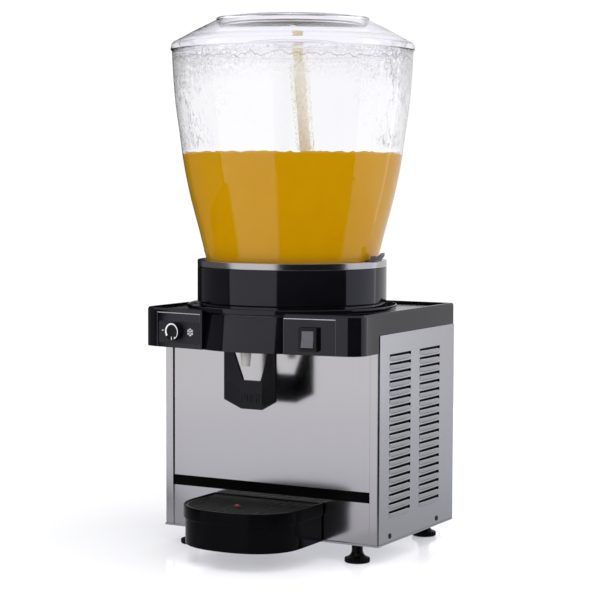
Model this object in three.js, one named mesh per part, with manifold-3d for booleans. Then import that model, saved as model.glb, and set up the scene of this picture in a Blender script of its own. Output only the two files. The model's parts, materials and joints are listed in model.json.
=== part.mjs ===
// Cold drink dispenser with one clear bowl: casing, cooling unit, magnetic pump, tap, controls, drip tray and feet.
// Millimetres, +X right, +Y back, +Z up. The front faces -Y.
// The origin lies under the middle of the whole object, on the surface that it stands on.
import * as THREE from "three";
import { mergeVertices } from "three/addons/utils/BufferGeometryUtils.js";
import Module from "manifold-3d";

const wasm = await Module();
wasm.setup();

// Fits that all pieces share
const seatGap = 0.3;
const moveGap = 0.6;
const cutOver = 1;
const sheet = 1.2;

// Casing, measured from the bowl axis
const caseWidth = 330;
const caseFrontReach = 64;
const caseRearReach = 173;
const standHeight = 24.5;
const sidePanelHeight = 275.2;
const panPlate = 2.5;

// Front overhang and rims of the housing
const rimHeight = 28.9;
const apronDrop = 23.5;
const housingWall = 3;
const stackRadius = 129;
const skirtTopOut = 9;
const skirtDraft = 6;
const podInnerX = 62;
const podCornerIn = 23;
const podInnerIn = 4;
const podOuterIn = 11.5;
const cornerBackIn = 24.5;
const rearCorner = 4;
const skirtTopRadius = stackRadius + skirtTopOut;
const skirtFootRadius = skirtTopRadius + skirtDraft;
const podInnerReach = skirtTopRadius - podInnerIn;
const podOuterReach = podInnerReach - podOuterIn;
const cornerBackReach = podOuterReach - cornerBackIn;

// Drip tray
const trayHalfWidth = 84;
const trayReach = 193;
const trayHeight = 52.2;
const trayLift = 25;
const trayWall = 2.5;

// Bowl and lid
const bowlHeight = 287.4;
const bowlFootRadius = 115.5;
const bowlRimRadius = 163.5;
const bowlWall = 3.5;

const glandOut = 4;
const rearReach = caseRearReach + glandOut;
const axisY = (trayReach - rearReach) / 2;

// Heights that follow from the sizes above
const caseHalf = caseWidth / 2;
const podOuterX = caseHalf - podCornerIn;
const panTop = standHeight + panPlate;
const panelFoot = panTop + seatGap;
const sideTop = panelFoot + sidePanelHeight;
const bandFoot = sideTop + seatGap;
const rimTop = bandFoot + rimHeight;
const apronFoot = bandFoot - apronDrop;

const bigRound = 36;
const midRound = 24;
const smallRound = 12;
const tinyRound = 8;
const tapRound = 16;

// Colours
function finish(color, roughness, metalness, opacity = 1) {
  return new THREE.MeshStandardMaterial({ color, roughness, metalness, opacity, transparent: opacity < 1 });
}
const steel = finish(0xb4b2b6, 0.32, 1);
const steelSide = finish(0xacacb4, 0.38, 1);
const galvanised = finish(0x9a9ca0, 0.5, 0.9);
const glossBlack = finish(0x0b0b0f, 0.18, 0);
const dullBlack = finish(0x17171a, 0.5, 0);
const stripeBlack = finish(0x101014, 0.35, 0);
const labelGrey = finish(0x34343b, 0.55, 0);
const rockerGrey = finish(0x62626b, 0.45, 0);
const clearPlastic = finish(0xe8eef2, 0.05, 0, 0.3);
const tubeWhite = finish(0xd8d8d4, 0.35, 0);
const sealGrey = finish(0x4a4a50, 0.8, 0);
const foamWhite = finish(0xe6e2d8, 0.95, 0);
const copper = finish(0xb87345, 0.35, 1);
const compressorBlack = finish(0x1c1d20, 0.45, 0.2);
const floatRed = finish(0x9c1f26, 0.4, 0);
const clipGrey = finish(0x6a6672, 0.45, 0);
const fanGrey = finish(0x3c3f44, 0.5, 0);
const screwDark = finish(0x2b2b2f, 0.4, 0.8);
const magnetGrey = finish(0x55575c, 0.5, 0.6);

// Solids from three.js geometry
function solid(geometry) {
  const bare = new THREE.BufferGeometry();
  bare.setAttribute("position", geometry.getAttribute("position").clone());
  if (geometry.index) bare.setIndex(geometry.index.clone());
  const merged = mergeVertices(bare, 1e-4);
  const index = Array.from(merged.index.array);
  const triVerts = [];
  for (let i = 0; i < index.length; i += 3) {
    const [a, b, c] = index.slice(i, i + 3);
    if (a !== b && b !== c && c !== a) triVerts.push(a, b, c);
  }
  const vertProperties = merged.attributes.position.array;
  const made = new wasm.Manifold(new wasm.Mesh({ numProp: 3, vertProperties, triVerts: new Uint32Array(triVerts) }));
  if (made.volume() > 0) return made;
  for (let i = 0; i < triVerts.length; i += 3) [triVerts[i + 1], triVerts[i + 2]] = [triVerts[i + 2], triVerts[i + 1]];
  return new wasm.Manifold(new wasm.Mesh({ numProp: 3, vertProperties, triVerts: new Uint32Array(triVerts) }));
}

function faceted(body) {
  const mesh = body.getMesh();
  const geometry = new THREE.BufferGeometry();
  const positions = new Float32Array(mesh.numVert * 3);
  for (let i = 0; i < mesh.numVert; i++) {
    for (let k = 0; k < 3; k++) positions[i * 3 + k] = mesh.vertProperties[i * mesh.numProp + k];
  }
  geometry.setAttribute("position", new THREE.BufferAttribute(positions, 3));
  geometry.setIndex(Array.from(mesh.triVerts));
  const flat = geometry.toNonIndexed();
  flat.computeVertexNormals();
  return flat;
}

function join(first, ...others) {
  return others.reduce((sum, other) => sum.add(other), first);
}

function cut(first, ...others) {
  return others.reduce((rest, other) => rest.subtract(other), first);
}

function block(x0, x1, y0, y1, z0, z1) {
  const geometry = new THREE.BoxGeometry(x1 - x0, y1 - y0, z1 - z0);
  geometry.translate((x0 + x1) / 2, (y0 + y1) / 2, (z0 + z1) / 2);
  return solid(geometry);
}

function prism(outline, z0, z1) {
  const shape = new THREE.Shape(outline.map(([x, y]) => new THREE.Vector2(x, y)));
  const geometry = new THREE.ExtrudeGeometry(shape, { depth: z1 - z0, bevelEnabled: false });
  geometry.translate(0, 0, z0);
  return solid(geometry);
}

// An outline in X and Z, carried along Y
function slab(outline, y0, y1) {
  const shape = new THREE.Shape(outline.map(([x, z]) => new THREE.Vector2(x, z)));
  const geometry = new THREE.ExtrudeGeometry(shape, { depth: y1 - y0, bevelEnabled: false });
  geometry.rotateX(Math.PI / 2);
  geometry.translate(0, y1, 0);
  return solid(geometry);
}

// A profile of radius and height turned about the Z axis
function turned(profile, steps) {
  const closed = profile[0][0] > 0 || profile.at(-1)[0] > 0;
  const points = closed ? [...profile, profile[0]] : profile;
  const geometry = new THREE.LatheGeometry(points.map(([r, z]) => new THREE.Vector2(r, z)), steps);
  geometry.rotateX(Math.PI / 2);
  return solid(geometry);
}

function drum(radius, z0, z1, steps) {
  return turned([[0, z0], [radius, z0], [radius, z1], [0, z1]], steps);
}

function ringSolid(innerRadius, outerRadius, z0, z1, steps) {
  return turned([[innerRadius, z0], [outerRadius, z0], [outerRadius, z1], [innerRadius, z1]], steps);
}

// The solid between two outlines with as many points each, one above the other
function loft(lower, z0, upper, z1) {
  const count = lower.length;
  const positions = [...lower.map(([x, y]) => [x, y, z0]), ...upper.map(([x, y]) => [x, y, z1])].flat();
  const caps = THREE.ShapeUtils.triangulateShape(lower.map(([x, y]) => new THREE.Vector2(x, y)), []);
  const index = [];
  for (const [a, b, c] of caps) index.push(a, c, b, a + count, b + count, c + count);
  for (let i = 0; i < count; i++) {
    const next = (i + 1) % count;
    index.push(i, next, next + count, i, next + count, i + count);
  }
  const geometry = new THREE.BufferGeometry();
  geometry.setAttribute("position", new THREE.Float32BufferAttribute(positions, 3));
  geometry.setIndex(index);
  return solid(geometry);
}

// A round bar or tube along a smooth path of points
function tubeAlong(points, radius, bore, sides, steps, tension = 0.5) {
  const path = new THREE.CatmullRomCurve3(points.map((p) => new THREE.Vector3(...p)), false, "catmullrom", tension);
  const shape = new THREE.Shape();
  shape.absarc(0, 0, radius, 0, Math.PI * 2, false);
  if (bore) {
    const hole = new THREE.Path();
    hole.absarc(0, 0, bore, 0, Math.PI * 2, true);
    shape.holes.push(hole);
  }
  const options = { steps, bevelEnabled: false, extrudePath: path, curveSegments: sides };
  return solid(new THREE.ExtrudeGeometry(shape, options));
}

function moved(body, x, y, z) {
  return body.translate([x, y, z]);
}

const machine = new THREE.Group();
machine.position.y = axisY;

function place(name, body, material, parent = machine) {
  const mesh = new THREE.Mesh(faceted(body), material);
  mesh.name = name;
  parent.add(mesh);
  return mesh;
}

// Feet: a notched disc, a flare and a threaded stem that screws into the pan
const footRadius = 16.9;
const footNotch = 1.1;
const footTeeth = 16;
const footDisc = 6.5;
const footFlareTop = 14;
const footNeckRadius = 6.8;
const footStemRadius = 4;
const footStemTop = 16;
const footSideIn = 37;
const footFrontIn = 13.5;
const footRearIn = 15;
const footX = caseHalf - footSideIn;
const footFrontReach = caseFrontReach - footFrontIn;
const footRearReach = caseRearReach - footRearIn;

function footOutline() {
  const points = [];
  for (let i = 0; i < footTeeth * 2; i++) {
    const turn = (i / (footTeeth * 2)) * Math.PI * 2;
    const radius = footRadius - (i % 2) * footNotch;
    points.push([Math.cos(turn) * radius, Math.sin(turn) * radius]);
  }
  return points;
}

function makeFoot(name, x, y) {
  const waist = (footRadius + footNeckRadius) / 2;
  const flare = turned([
    [0, footDisc / 2],
    [footRadius - footNotch * 2, footDisc / 2],
    [footRadius - footNotch * 2, footDisc],
    [waist - footNotch, footDisc + (footFlareTop - footDisc) / 3],
    [footNeckRadius, footFlareTop],
    [footNeckRadius, standHeight - seatGap],
    [footStemRadius, standHeight - seatGap],
    [footStemRadius, standHeight + footStemTop],
    [0, standHeight + footStemTop],
  ], smallRound);
  const mesh = place(name, join(prism(footOutline(), 0, footDisc), flare), dullBlack);
  mesh.position.set(x, y, 0);
}

makeFoot("foot_front_left", -footX, -footFrontReach);
makeFoot("foot_front_right", footX, -footFrontReach);
makeFoot("foot_rear_left", -footX, footRearReach);
makeFoot("foot_rear_right", footX, footRearReach);

// Base pan: a plate with an upstand inside the panels, and bosses for the foot stems
const upstandHeight = 16;
const upstandSheet = 1.5;
const footBossRadius = 9;
const footBossHeight = 12;
const screwFrontIn = 35.4;
const screwRearIn = 54.2;
const screwFrontReach = caseFrontReach - screwFrontIn;
const screwRearReach = caseRearReach - screwRearIn;
const screwHeight = 7.5;
const screwHole = 2.4;
const upstandInset = sheet + seatGap;

function makeBasePan() {
  const plate = block(-caseHalf, caseHalf, -caseFrontReach, caseRearReach, standHeight, panTop);
  const outer = caseHalf - upstandInset;
  const front = -caseFrontReach + frontSetBack + sheet + seatGap;
  const rear = caseRearReach - sheet - seatGap;
  const top = panTop + upstandHeight;
  const hollow = block(
    -outer + upstandSheet, outer - upstandSheet,
    front + upstandSheet, rear - upstandSheet, panTop, top + cutOver,
  );
  let pan = join(plate, cut(block(-outer, outer, front, rear, panTop - panPlate / 2, top), hollow));
  for (const x of [-outer, outer]) {
    pan = pan.subtract(block(
      x - postReturn, x + postReturn, front - cutOver, -caseFrontReach + postLeg + seatGap, panTop, top + cutOver,
    ));
  }
  for (const x of [-footX, footX]) {
    for (const y of [-footFrontReach, footRearReach]) {
      const boss = drum(footBossRadius, panTop - panPlate / 2, panTop + footBossHeight, tinyRound);
      pan = pan.add(moved(boss, x, y, 0));
      const hole = drum(footStemRadius + moveGap, standHeight - cutOver, panTop + footBossHeight + cutOver, tinyRound);
      pan = pan.subtract(moved(hole, x, y, 0));
    }
  }
  for (const y of [-screwFrontReach, screwRearReach]) {
    for (const side of [-1, 1]) {
      const hole = drum(screwHole, -upstandInset * 2, upstandInset * 4, tinyRound).rotate([0, 90, 0]);
      pan = pan.subtract(moved(hole, side * (outer - upstandInset), y, panTop + screwHeight));
    }
  }
  return pan;
}

// Folded corner posts beside the front panel
const postFace = 11.5;
const postLeg = 30;
const postReturn = 3.7;
const frontSetBack = 2.5;

function makePost(name, side) {
  const outer = caseHalf - upstandInset;
  const inner = outer - postFace;
  const front = -caseFrontReach;
  const outline = [
    [inner, front], [outer, front], [outer, front + postLeg], [outer - sheet, front + postLeg],
    [outer - sheet, front + sheet], [inner + sheet, front + sheet],
    [inner + sheet, front + postReturn], [inner, front + postReturn],
  ].map(([x, y]) => [x * side, y]);
  place(name, prism(outline, panelFoot, sideTop), steel);
}

place("base_pan", makeBasePan(), galvanised);
makePost("front_post_left", -1);
makePost("front_post_right", 1);

// Front panel, set back between the posts, with the bare stripe on it and two slots for the tray bracket
const frontPanelHalf = caseHalf - upstandInset - postFace - seatGap;
const frontPanelFace = -caseFrontReach + frontSetBack;
const stripeFoot = 54.5;
const stripeHeight = 14;
const stripeThick = 0.4;

place(
  "front_panel",
  block(-frontPanelHalf, frontPanelHalf, frontPanelFace, frontPanelFace + sheet, panelFoot, sideTop),
  steel,
);
place(
  "front_stripe",
  block(
    -frontPanelHalf, frontPanelHalf, frontPanelFace - seatGap - stripeThick, frontPanelFace - seatGap,
    panelFoot + stripeFoot, panelFoot + stripeFoot + stripeHeight,
  ),
  stripeBlack,
);

// Side panels with two columns of louvres, each an open slot over a pushed-out hood
const louvreRows = 19;
const louvrePitch = 11.57;
const louvreLength = 65;
const louvreSlot = 2.6;
const louvreHood = 7.4;
const louvreOut = 3;
const louvreTaper = 7;
const louvreTopDrop = 26.9;
const frontColumnIn = 31.6;
const rearColumnIn = 112.8;
const frontColumnReach = caseFrontReach - frontColumnIn;
const rearColumnReach = caseRearReach - rearColumnIn;
const panelReveal = 3.2;

function hoodSolid() {
  const half = louvreLength / 2;
  const points = [
    [0, -half, 0], [0, half, 0], [0, half - louvreTaper, -louvreHood], [0, -half + louvreTaper, -louvreHood],
    [louvreOut, -half + louvreTaper, 0], [louvreOut, half - louvreTaper, 0],
  ];
  const geometry = new THREE.BufferGeometry();
  geometry.setAttribute("position", new THREE.Float32BufferAttribute(points.flat(), 3));
  geometry.setIndex([0, 1, 5, 0, 5, 4, 0, 4, 3, 1, 2, 5, 3, 4, 5, 3, 5, 2, 0, 3, 2, 0, 2, 1]);
  return solid(geometry);
}

function makeSidePanel(name, side) {
  const inner = caseHalf - sheet;
  const front = -caseFrontReach + panelReveal;
  let panel = block(inner, caseHalf, front, caseRearReach, panelFoot, sideTop);
  const slots = [];
  const hoods = [];
  for (const start of [-frontColumnReach, rearColumnReach]) {
    for (let row = 0; row < louvreRows; row++) {
      const lip = sideTop - louvreTopDrop - row * louvrePitch;
      const middle = start + louvreLength / 2;
      hoods.push(moved(hoodSolid(), caseHalf - sheet / 2, middle, lip - louvreSlot));
      slots.push(block(
        inner - cutOver, caseHalf + cutOver, middle - louvreLength / 2, middle + louvreLength / 2,
        lip - louvreSlot, lip,
      ));
    }
  }
  for (const y of [-screwFrontReach, screwRearReach]) {
    const hole = drum(screwHole, -sheet, sheet * 4, tinyRound).rotate([0, 90, 0]);
    slots.push(moved(hole, inner - sheet, y, panTop + screwHeight));
  }
  panel = panel.add(wasm.Manifold.union(hoods)).subtract(wasm.Manifold.union(slots));
  const mesh = place(name, side < 0 ? panel.mirror([1, 0, 0]) : panel, steelSide);
  return mesh;
}

makeSidePanel("side_panel_left", -1);
makeSidePanel("side_panel_right", 1);

// Pan screws through the side panels
const screwHeadRadius = 4;
const screwHead = 0.8;
const screwLength = 8;
const screwShankRadius = 1.9;

function makeSideScrew(name, side, y) {
  const body = turned([
    [0, -screwLength], [screwShankRadius, -screwLength], [screwShankRadius, seatGap],
    [screwHeadRadius, seatGap], [screwHeadRadius * 0.8, seatGap + screwHead], [0, seatGap + screwHead],
  ], tinyRound);
  const mesh = place(name, body, screwDark);
  mesh.rotation.y = (side * Math.PI) / 2;
  mesh.position.set(side * caseHalf, y, panTop + screwHeight);
}

makeSideScrew("side_screw_front_left", -1, -screwFrontReach);
makeSideScrew("side_screw_rear_left", -1, screwRearReach);
makeSideScrew("side_screw_front_right", 1, -screwFrontReach);
makeSideScrew("side_screw_rear_right", 1, screwRearReach);

// Rear panel with plain vent slots and the hole of the cable gland
const ventRows = 9;
const ventPitch = 18;
const ventLength = 84;
const ventSlot = 4;
const ventTopDrop = 50;
const ventEdge = 61;
const glandIn = 47;
const glandX = caseHalf - glandIn;
const ventMiddle = caseHalf - ventEdge - ventLength / 2;
const glandHeight = 40;
const glandBodyRadius = 6.5;

function makeRearPanel() {
  const half = caseHalf - upstandInset;
  let panel = block(-half, half, caseRearReach - sheet, caseRearReach, panelFoot, sideTop);
  const holes = [];
  for (const x of [-ventMiddle, ventMiddle]) {
    for (let row = 0; row < ventRows; row++) {
      const top = sideTop - ventTopDrop - row * ventPitch;
      holes.push(block(
        x - ventLength / 2, x + ventLength / 2, caseRearReach - sheet - cutOver, caseRearReach + cutOver,
        top - ventSlot, top,
      ));
    }
  }
  const hole = drum(glandBodyRadius + seatGap, -cutOver - sheet, cutOver, smallRound).rotate([-90, 0, 0]);
  holes.push(moved(hole, glandX, caseRearReach, panelFoot + glandHeight));
  return panel.subtract(wasm.Manifold.union(holes));
}

const glandFlangeRadius = 10;
const glandInside = 9;

function makeGland() {
  const body = turned([
    [0, -glandInside], [glandBodyRadius, -glandInside], [glandBodyRadius, seatGap],
    [glandFlangeRadius, seatGap], [glandFlangeRadius, glandOut * 0.6], [glandBodyRadius, glandOut], [0, glandOut],
  ], smallRound);
  const mesh = place("cord_gland", body, dullBlack);
  mesh.rotation.x = -Math.PI / 2;
  mesh.position.set(glandX, caseRearReach, panelFoot + glandHeight);
}

place("rear_panel", makeRearPanel(), galvanised);
makeGland();

// Plan of the housing: a round skirt in the middle, a flat pod each side of it, soft corners and a square back
const podTurn = Math.atan2(podInnerReach - podOuterReach, podOuterX - podInnerX);
const skirtSteps = 8;
const cornerSteps = 5;
const rearCornerSteps = 3;

function podLineY(x, inset) {
  return -podInnerReach + Math.tan(podTurn) * (x - podInnerX) + inset / Math.cos(podTurn);
}

function bend(from, corner, to, steps) {
  const curve = new THREE.QuadraticBezierCurve(
    new THREE.Vector2(...from), new THREE.Vector2(...corner), new THREE.Vector2(...to),
  );
  return curve.getPoints(steps).map((p) => [p.x, p.y]);
}

function housingOutline(inset, skirtRadius) {
  const radius = skirtRadius - inset;
  const stepX = podInnerX + inset;
  const side = caseHalf - inset;
  const rear = caseRearReach - inset;
  const sweep = Math.asin(stepX / radius);
  const half = [];
  for (let i = 1; i <= skirtSteps; i++) {
    const turn = (sweep * i) / skirtSteps;
    half.push([Math.sin(turn) * radius, -Math.cos(turn) * radius]);
  }
  half.push([stepX, podLineY(stepX, inset)]);
  const corner = [side, podLineY(side, inset)];
  half.push(...bend([podOuterX, podLineY(podOuterX, inset)], corner, [side, -cornerBackReach], cornerSteps));
  const round = (rearCorner * housingWall) / (housingWall + inset);
  half.push(...bend([side, rear - round], [side, rear], [side - round, rear], rearCornerSteps));
  const mirrored = half.map(([x, y]) => [-x, y]).reverse();
  return [[0, -radius], ...half, ...mirrored];
}

// Cut-outs of the pods, in a frame on the pod face with -Y outwards
const podCentreIn = 67.4;
const podCentreX = caseHalf - podCentreIn;
const podCentreHeight = 20.7;
const shaftHole = 3.6;
const knobShift = 6.8;
const knobUp = 1.9;
const switchBodyWidth = 20;
const switchBodyHeight = 27;

function onPod(body, side) {
  const turned90 = body.rotate([0, 0, (side * podTurn * 180) / Math.PI]);
  return moved(turned90, side * podCentreX, podLineY(podCentreX, 0), apronFoot + podCentreHeight);
}

// Housing: the apron and the rims round the deck, with a ledge that carries the deck
const deckDrop = 4.7;
const ledgeWide = 9;
const ledgeThick = 3;
const deckTop = rimTop - deckDrop;
const deckFoot = deckTop - sheet;
const ledgeTop = deckFoot - seatGap;
const ringSeatOut = 5;
const ringSeatRadius = skirtTopRadius + ringSeatOut;
const rimFillet = 2.5;

function makeHousing() {
  const outer = loft(housingOutline(0, skirtFootRadius), apronFoot, housingOutline(0, skirtTopRadius), rimTop - rimFillet);
  const cap = loft(
    housingOutline(0, skirtTopRadius), rimTop - rimFillet,
    housingOutline(rimFillet * 0.6, skirtTopRadius), rimTop,
  );
  const wallIn = housingWall + rimFillet * 0.6;
  const hollow = loft(
    housingOutline(housingWall, skirtFootRadius), apronFoot - cutOver,
    housingOutline(housingWall, skirtTopRadius), ledgeTop - ledgeThick,
  );
  const throat = prism(housingOutline(housingWall + ledgeWide, skirtTopRadius), apronFoot, ledgeTop + cutOver);
  const upper = prism(housingOutline(wallIn, skirtTopRadius), ledgeTop, rimTop + cutOver);
  const behind = block(
    -caseWidth, caseWidth, -caseFrontReach - seatGap, caseWidth, apronFoot - cutOver * 2, bandFoot,
  );
  const ringRoom = drum(ringSeatRadius + moveGap, deckTop - seatGap, rimTop + cutOver, bigRound);
  const shaftDrum = drum(shaftHole, -housingWall * 2, housingWall * 2, smallRound).rotate([90, 0, 0]);
  const shaftRoom = moved(shaftDrum, -knobShift, 0, knobUp);
  const switchRoom = block(
    -switchBodyWidth / 2 - seatGap, switchBodyWidth / 2 + seatGap, -housingWall * 2, housingWall * 2,
    -switchBodyHeight / 2 - seatGap, switchBodyHeight / 2 + seatGap,
  );
  return cut(join(outer, cap), hollow, throat, upper, behind, ringRoom, onPod(shaftRoom, -1), onPod(switchRoom, 1));
}

place("top_housing", makeHousing(), glossBlack);

// Deck: the steel plate inside the rims, with a round opening under the bowl
const deckOpening = 110;

function makeDeck() {
  const outline = housingOutline(housingWall + rimFillet * 0.6 + seatGap, skirtTopRadius);
  const plate = prism(outline, deckFoot, deckTop);
  return plate.subtract(drum(deckOpening, deckFoot - cutOver, deckTop + cutOver, bigRound));
}

place("top_deck", makeDeck(), steel);

// Tap place and the lever that hangs behind the nozzle
const tapIn = 10;
const leverPivotIn = 15.5;
const leverPivotRise = 14.2;
const leverHalf = 39;
const leverThick = 4;
const leverFaceHalf = 15.8;
const leverFaceIn = 14.4;
const leverWingIn = 9;
const leverDrop = 78;
const leverCornerDrop = 66;
const leverNotchDrop = 39.8;
const leverNotchHalf = 13.4;
const leverArmWide = 12;
const leverWindow = 3;
const apronPlate = 2.7;
const earThick = 3;
const trunnionRadius = 3;
const tapReach = podInnerReach - tapIn;
const leverPivotReach = tapReach - leverPivotIn;
const leverFaceReach = tapReach - leverFaceIn;
const leverWingReach = tapReach - leverWingIn;
const pivotZ = apronFoot + leverPivotRise;
const apronPlateTop = apronFoot + apronPlate;
const nozzleTopRadius = 8;

// Plate that closes the apron from below, with windows for the lever arms and ears for its trunnions
function makeApronPlate() {
  const plan = prism(housingOutline(housingWall + moveGap, skirtFootRadius), apronFoot, apronPlateTop);
  const front = block(
    -caseWidth, caseWidth, -caseWidth, -caseFrontReach - seatGap, apronFoot - cutOver, apronPlateTop + cutOver,
  );
  let plate = plan.intersect(front);
  const windowFront = -leverWingReach - leverWindow * 2;
  const windowBack = -leverFaceReach + leverThick + leverWindow * 2;
  for (const side of [-1, 1]) {
    const inner = leverHalf - leverArmWide - leverWindow;
    const outer = leverHalf + seatGap * 3;
    plate = plate.subtract(block(
      Math.min(side * inner, side * outer), Math.max(side * inner, side * outer), windowFront, windowBack,
      apronFoot - cutOver, apronPlateTop + cutOver,
    ));
    const earIn = outer + seatGap;
    const earX = [side * earIn, side * (earIn + earThick)].sort((a, b) => a - b);
    const ear = block(
      ...earX, -leverPivotReach - trunnionRadius * 2, -leverPivotReach + trunnionRadius * 2,
      apronPlateTop - apronPlate / 2, pivotZ + trunnionRadius * 2,
    );
    const eye = drum(trunnionRadius + seatGap, -earThick * 2, earThick * 2, smallRound).rotate([0, 90, 0]);
    plate = plate.add(ear.subtract(moved(eye, side * (earIn + earThick / 2), -leverPivotReach, pivotZ)));
  }
  const spout = drum(nozzleTopRadius + seatGap, apronFoot - cutOver, apronPlateTop + cutOver, smallRound);
  return plate.subtract(moved(spout, 0, -tapReach, 0));
}

place("apron_floor", makeApronPlate(), dullBlack);

// Nozzle under the apron
const nozzleDrop = 19.5;
const nozzleTipRadius = 5.4;
const nozzleBore = 4.2;
const nozzleFlangeRadius = 10.5;
const nozzleFlange = 1.8;
const funnelRadius = 6.2;
const nozzleFlangeFoot = apronPlateTop + seatGap;
const nozzleTop = nozzleFlangeFoot + nozzleFlange;

function makeNozzle() {
  const tip = apronFoot - nozzleDrop;
  return turned([
    [nozzleBore, tip], [nozzleTipRadius, tip], [nozzleTopRadius - seatGap * 2, apronFoot],
    [nozzleTopRadius - seatGap * 2, nozzleFlangeFoot],
    [nozzleFlangeRadius, nozzleFlangeFoot], [nozzleFlangeRadius, nozzleTop],
    [funnelRadius, nozzleTop], [nozzleBore, nozzleTop - funnelRadius * 1.3],
  ], tapRound);
}

const nozzle = place("nozzle", makeNozzle(), tubeWhite);
nozzle.position.y = -tapReach;

// Tap body: an inlet chamber above a valve seat, with a boss for the feed pipe behind
const tapRadius = 11;
const tapFootRoom = 6;
const valveSeatRadius = 4.4;
const valveSeatThick = 2;
const chamberRadius = 6.5;
const chamberHeight = 11;
const tapTopThick = 2.7;
const rodRadius = 3;
const inletRadius = 4;
const inletBossRadius = 6.2;
const inletReach = 20;
const tapFoot = nozzleTop + seatGap;
const seatFoot = tapFoot + tapFootRoom;
const chamberFoot = seatFoot + valveSeatThick;
const chamberTop = chamberFoot + chamberHeight;
const tapTop = chamberTop + tapTopThick;
const inletZ = chamberFoot + chamberHeight / 2;

function makeTapBody() {
  const shell = drum(tapRadius, tapFoot, tapTop, tapRound);
  const boss = moved(drum(inletBossRadius, 0, inletReach, smallRound).rotate([-90, 0, 0]), 0, 0, inletZ);
  const inlet = moved(drum(inletRadius, 0, inletReach + cutOver, smallRound).rotate([-90, 0, 0]), 0, 0, inletZ);
  return cut(
    join(shell, boss),
    drum(funnelRadius, tapFoot - cutOver, seatFoot, tapRound),
    drum(valveSeatRadius, seatFoot - cutOver, chamberFoot + cutOver, tapRound),
    drum(chamberRadius, chamberFoot, chamberTop, tapRound),
    drum(rodRadius + seatGap, chamberTop - cutOver, tapTop + cutOver, smallRound),
    inlet,
  );
}

const tapBody = place("tap_body", makeTapBody(), tubeWhite);
tapBody.position.y = -tapReach;

// Valve plunger: a poppet under the seat, a rod and a head that the lever presses down
const plungerTravel = 3.6;
const poppetRadius = 5.3;
const poppetThick = 3.2;
const headRadius = 8;
const headThick = 2.7;
const headRise = 6.3;
const stemRadius = 2.4;
const headFoot = tapTop + headRise;
const headTop = headFoot + headThick;
const poppetTop = seatFoot - seatGap;

function makePlunger() {
  return turned([
    [0, poppetTop - poppetThick], [poppetRadius - seatGap, poppetTop - poppetThick], [poppetRadius, poppetTop],
    [stemRadius, poppetTop], [stemRadius, chamberFoot + valveSeatThick], [rodRadius - seatGap, chamberFoot + valveSeatThick * 2],
    [rodRadius - seatGap, headFoot], [headRadius, headFoot], [headRadius, headTop], [0, headTop],
  ], smallRound);
}

const plunger = place("valve_plunger", makePlunger(), clipGrey);
plunger.position.y = -tapReach;

// Spring round the rod, between the tap and the head
const springRadius = 5.4;
const springWire = 0.7;
const springCurls = 3;
const springSteps = 10;
const springSides = 6;

function makeSpring() {
  const foot = tapTop + seatGap + springWire;
  const top = headFoot - seatGap - springWire;
  const points = [];
  for (let i = 0; i <= springCurls * springSteps; i++) {
    const turn = (i / springSteps) * Math.PI * 2;
    const rise = foot + ((top - foot) * i) / (springCurls * springSteps);
    points.push([Math.cos(turn) * springRadius, Math.sin(turn) * springRadius, rise]);
  }
  return tubeAlong(points, springWire, 0, springSides / 2, points.length - 1);
}

const spring = place("plunger_spring", makeSpring(), steel);
spring.position.y = -tapReach;

// Feed pipe from the bowl floor down to the tap
const dishSeatRadius = 117.7;
const stackLift = 11.1;
const collarHeight = 47.9;
const dishRimHeight = 8.8;
const dishSeatDepth = 8;
const dishWall = 1.7;
const feedReach = 94;
const feedRadius = 5;
const feedBore = 3.6;
const collarFoot = deckTop + seatGap + stackLift;
const collarTop = collarFoot + collarHeight;
const dishRimFoot = collarTop + seatGap;
const dishRimTop = dishRimFoot + dishRimHeight;
const dishFloor = dishRimTop - dishSeatDepth;
const dishUnder = dishFloor - dishWall;

const feedPath = [
  [0, -tapReach + inletReach + seatGap, inletZ],
  [0, -tapReach + inletReach + feedRadius, inletZ],
  [0, -feedReach, inletZ + feedRadius],
  [0, -feedReach, inletZ + feedRadius * 3],
  [0, -feedReach, dishUnder - feedRadius],
  [0, -feedReach, dishUnder - seatGap],
];
place("feed_pipe", tubeAlong(feedPath, feedRadius, feedBore, 4, 10, 0), tubeWhite);

// Tap lever: two arms from the trunnions to a cupped paddle, and a bridge with a finger over the plunger head
const bridgeThick = 3.4;
const bridgeDeep = 4;
const fingerHalf = 6;
const fingerReach = 15;
const pushLetterDeep = 0.8;
const pushLetterStroke = 1.7;
const pushLetterWide = 5.2;
const pushLetterHigh = 9.5;
const pushLetterGap = 1.6;
const ribCount = 5;
const ribPitch = 4.9;
const ribHigh = 1.6;
const ribDeep = 0.9;
const grooveCutOut = 5;
const ribInset = 3;

function leverFront(x) {
  const beyond = Math.max(0, Math.abs(x) - leverFaceHalf) / (leverHalf - leverFaceHalf);
  return -leverFaceReach - (leverWingReach - leverFaceReach) * beyond;
}

// Letter strokes as boxes in shares of the letter's width and height
const letterShares = {
  P: [[0, 0, "up", 1], [0, 1, "across", 1], [0, 0.5, "across", 1], [1, 0.5, "up", 0.5]],
  U: [[0, 0, "up", 1], [1, 0, "up", 1], [0, 0, "across", 1]],
  S: [[0, 0, "across", 1], [0, 0.5, "across", 1], [0, 1, "across", 1], [0, 0.5, "up", 0.5], [1, 0, "up", 0.5]],
  H: [[0, 0, "up", 1], [1, 0, "up", 1], [0, 0.5, "across", 1]],
};

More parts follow.
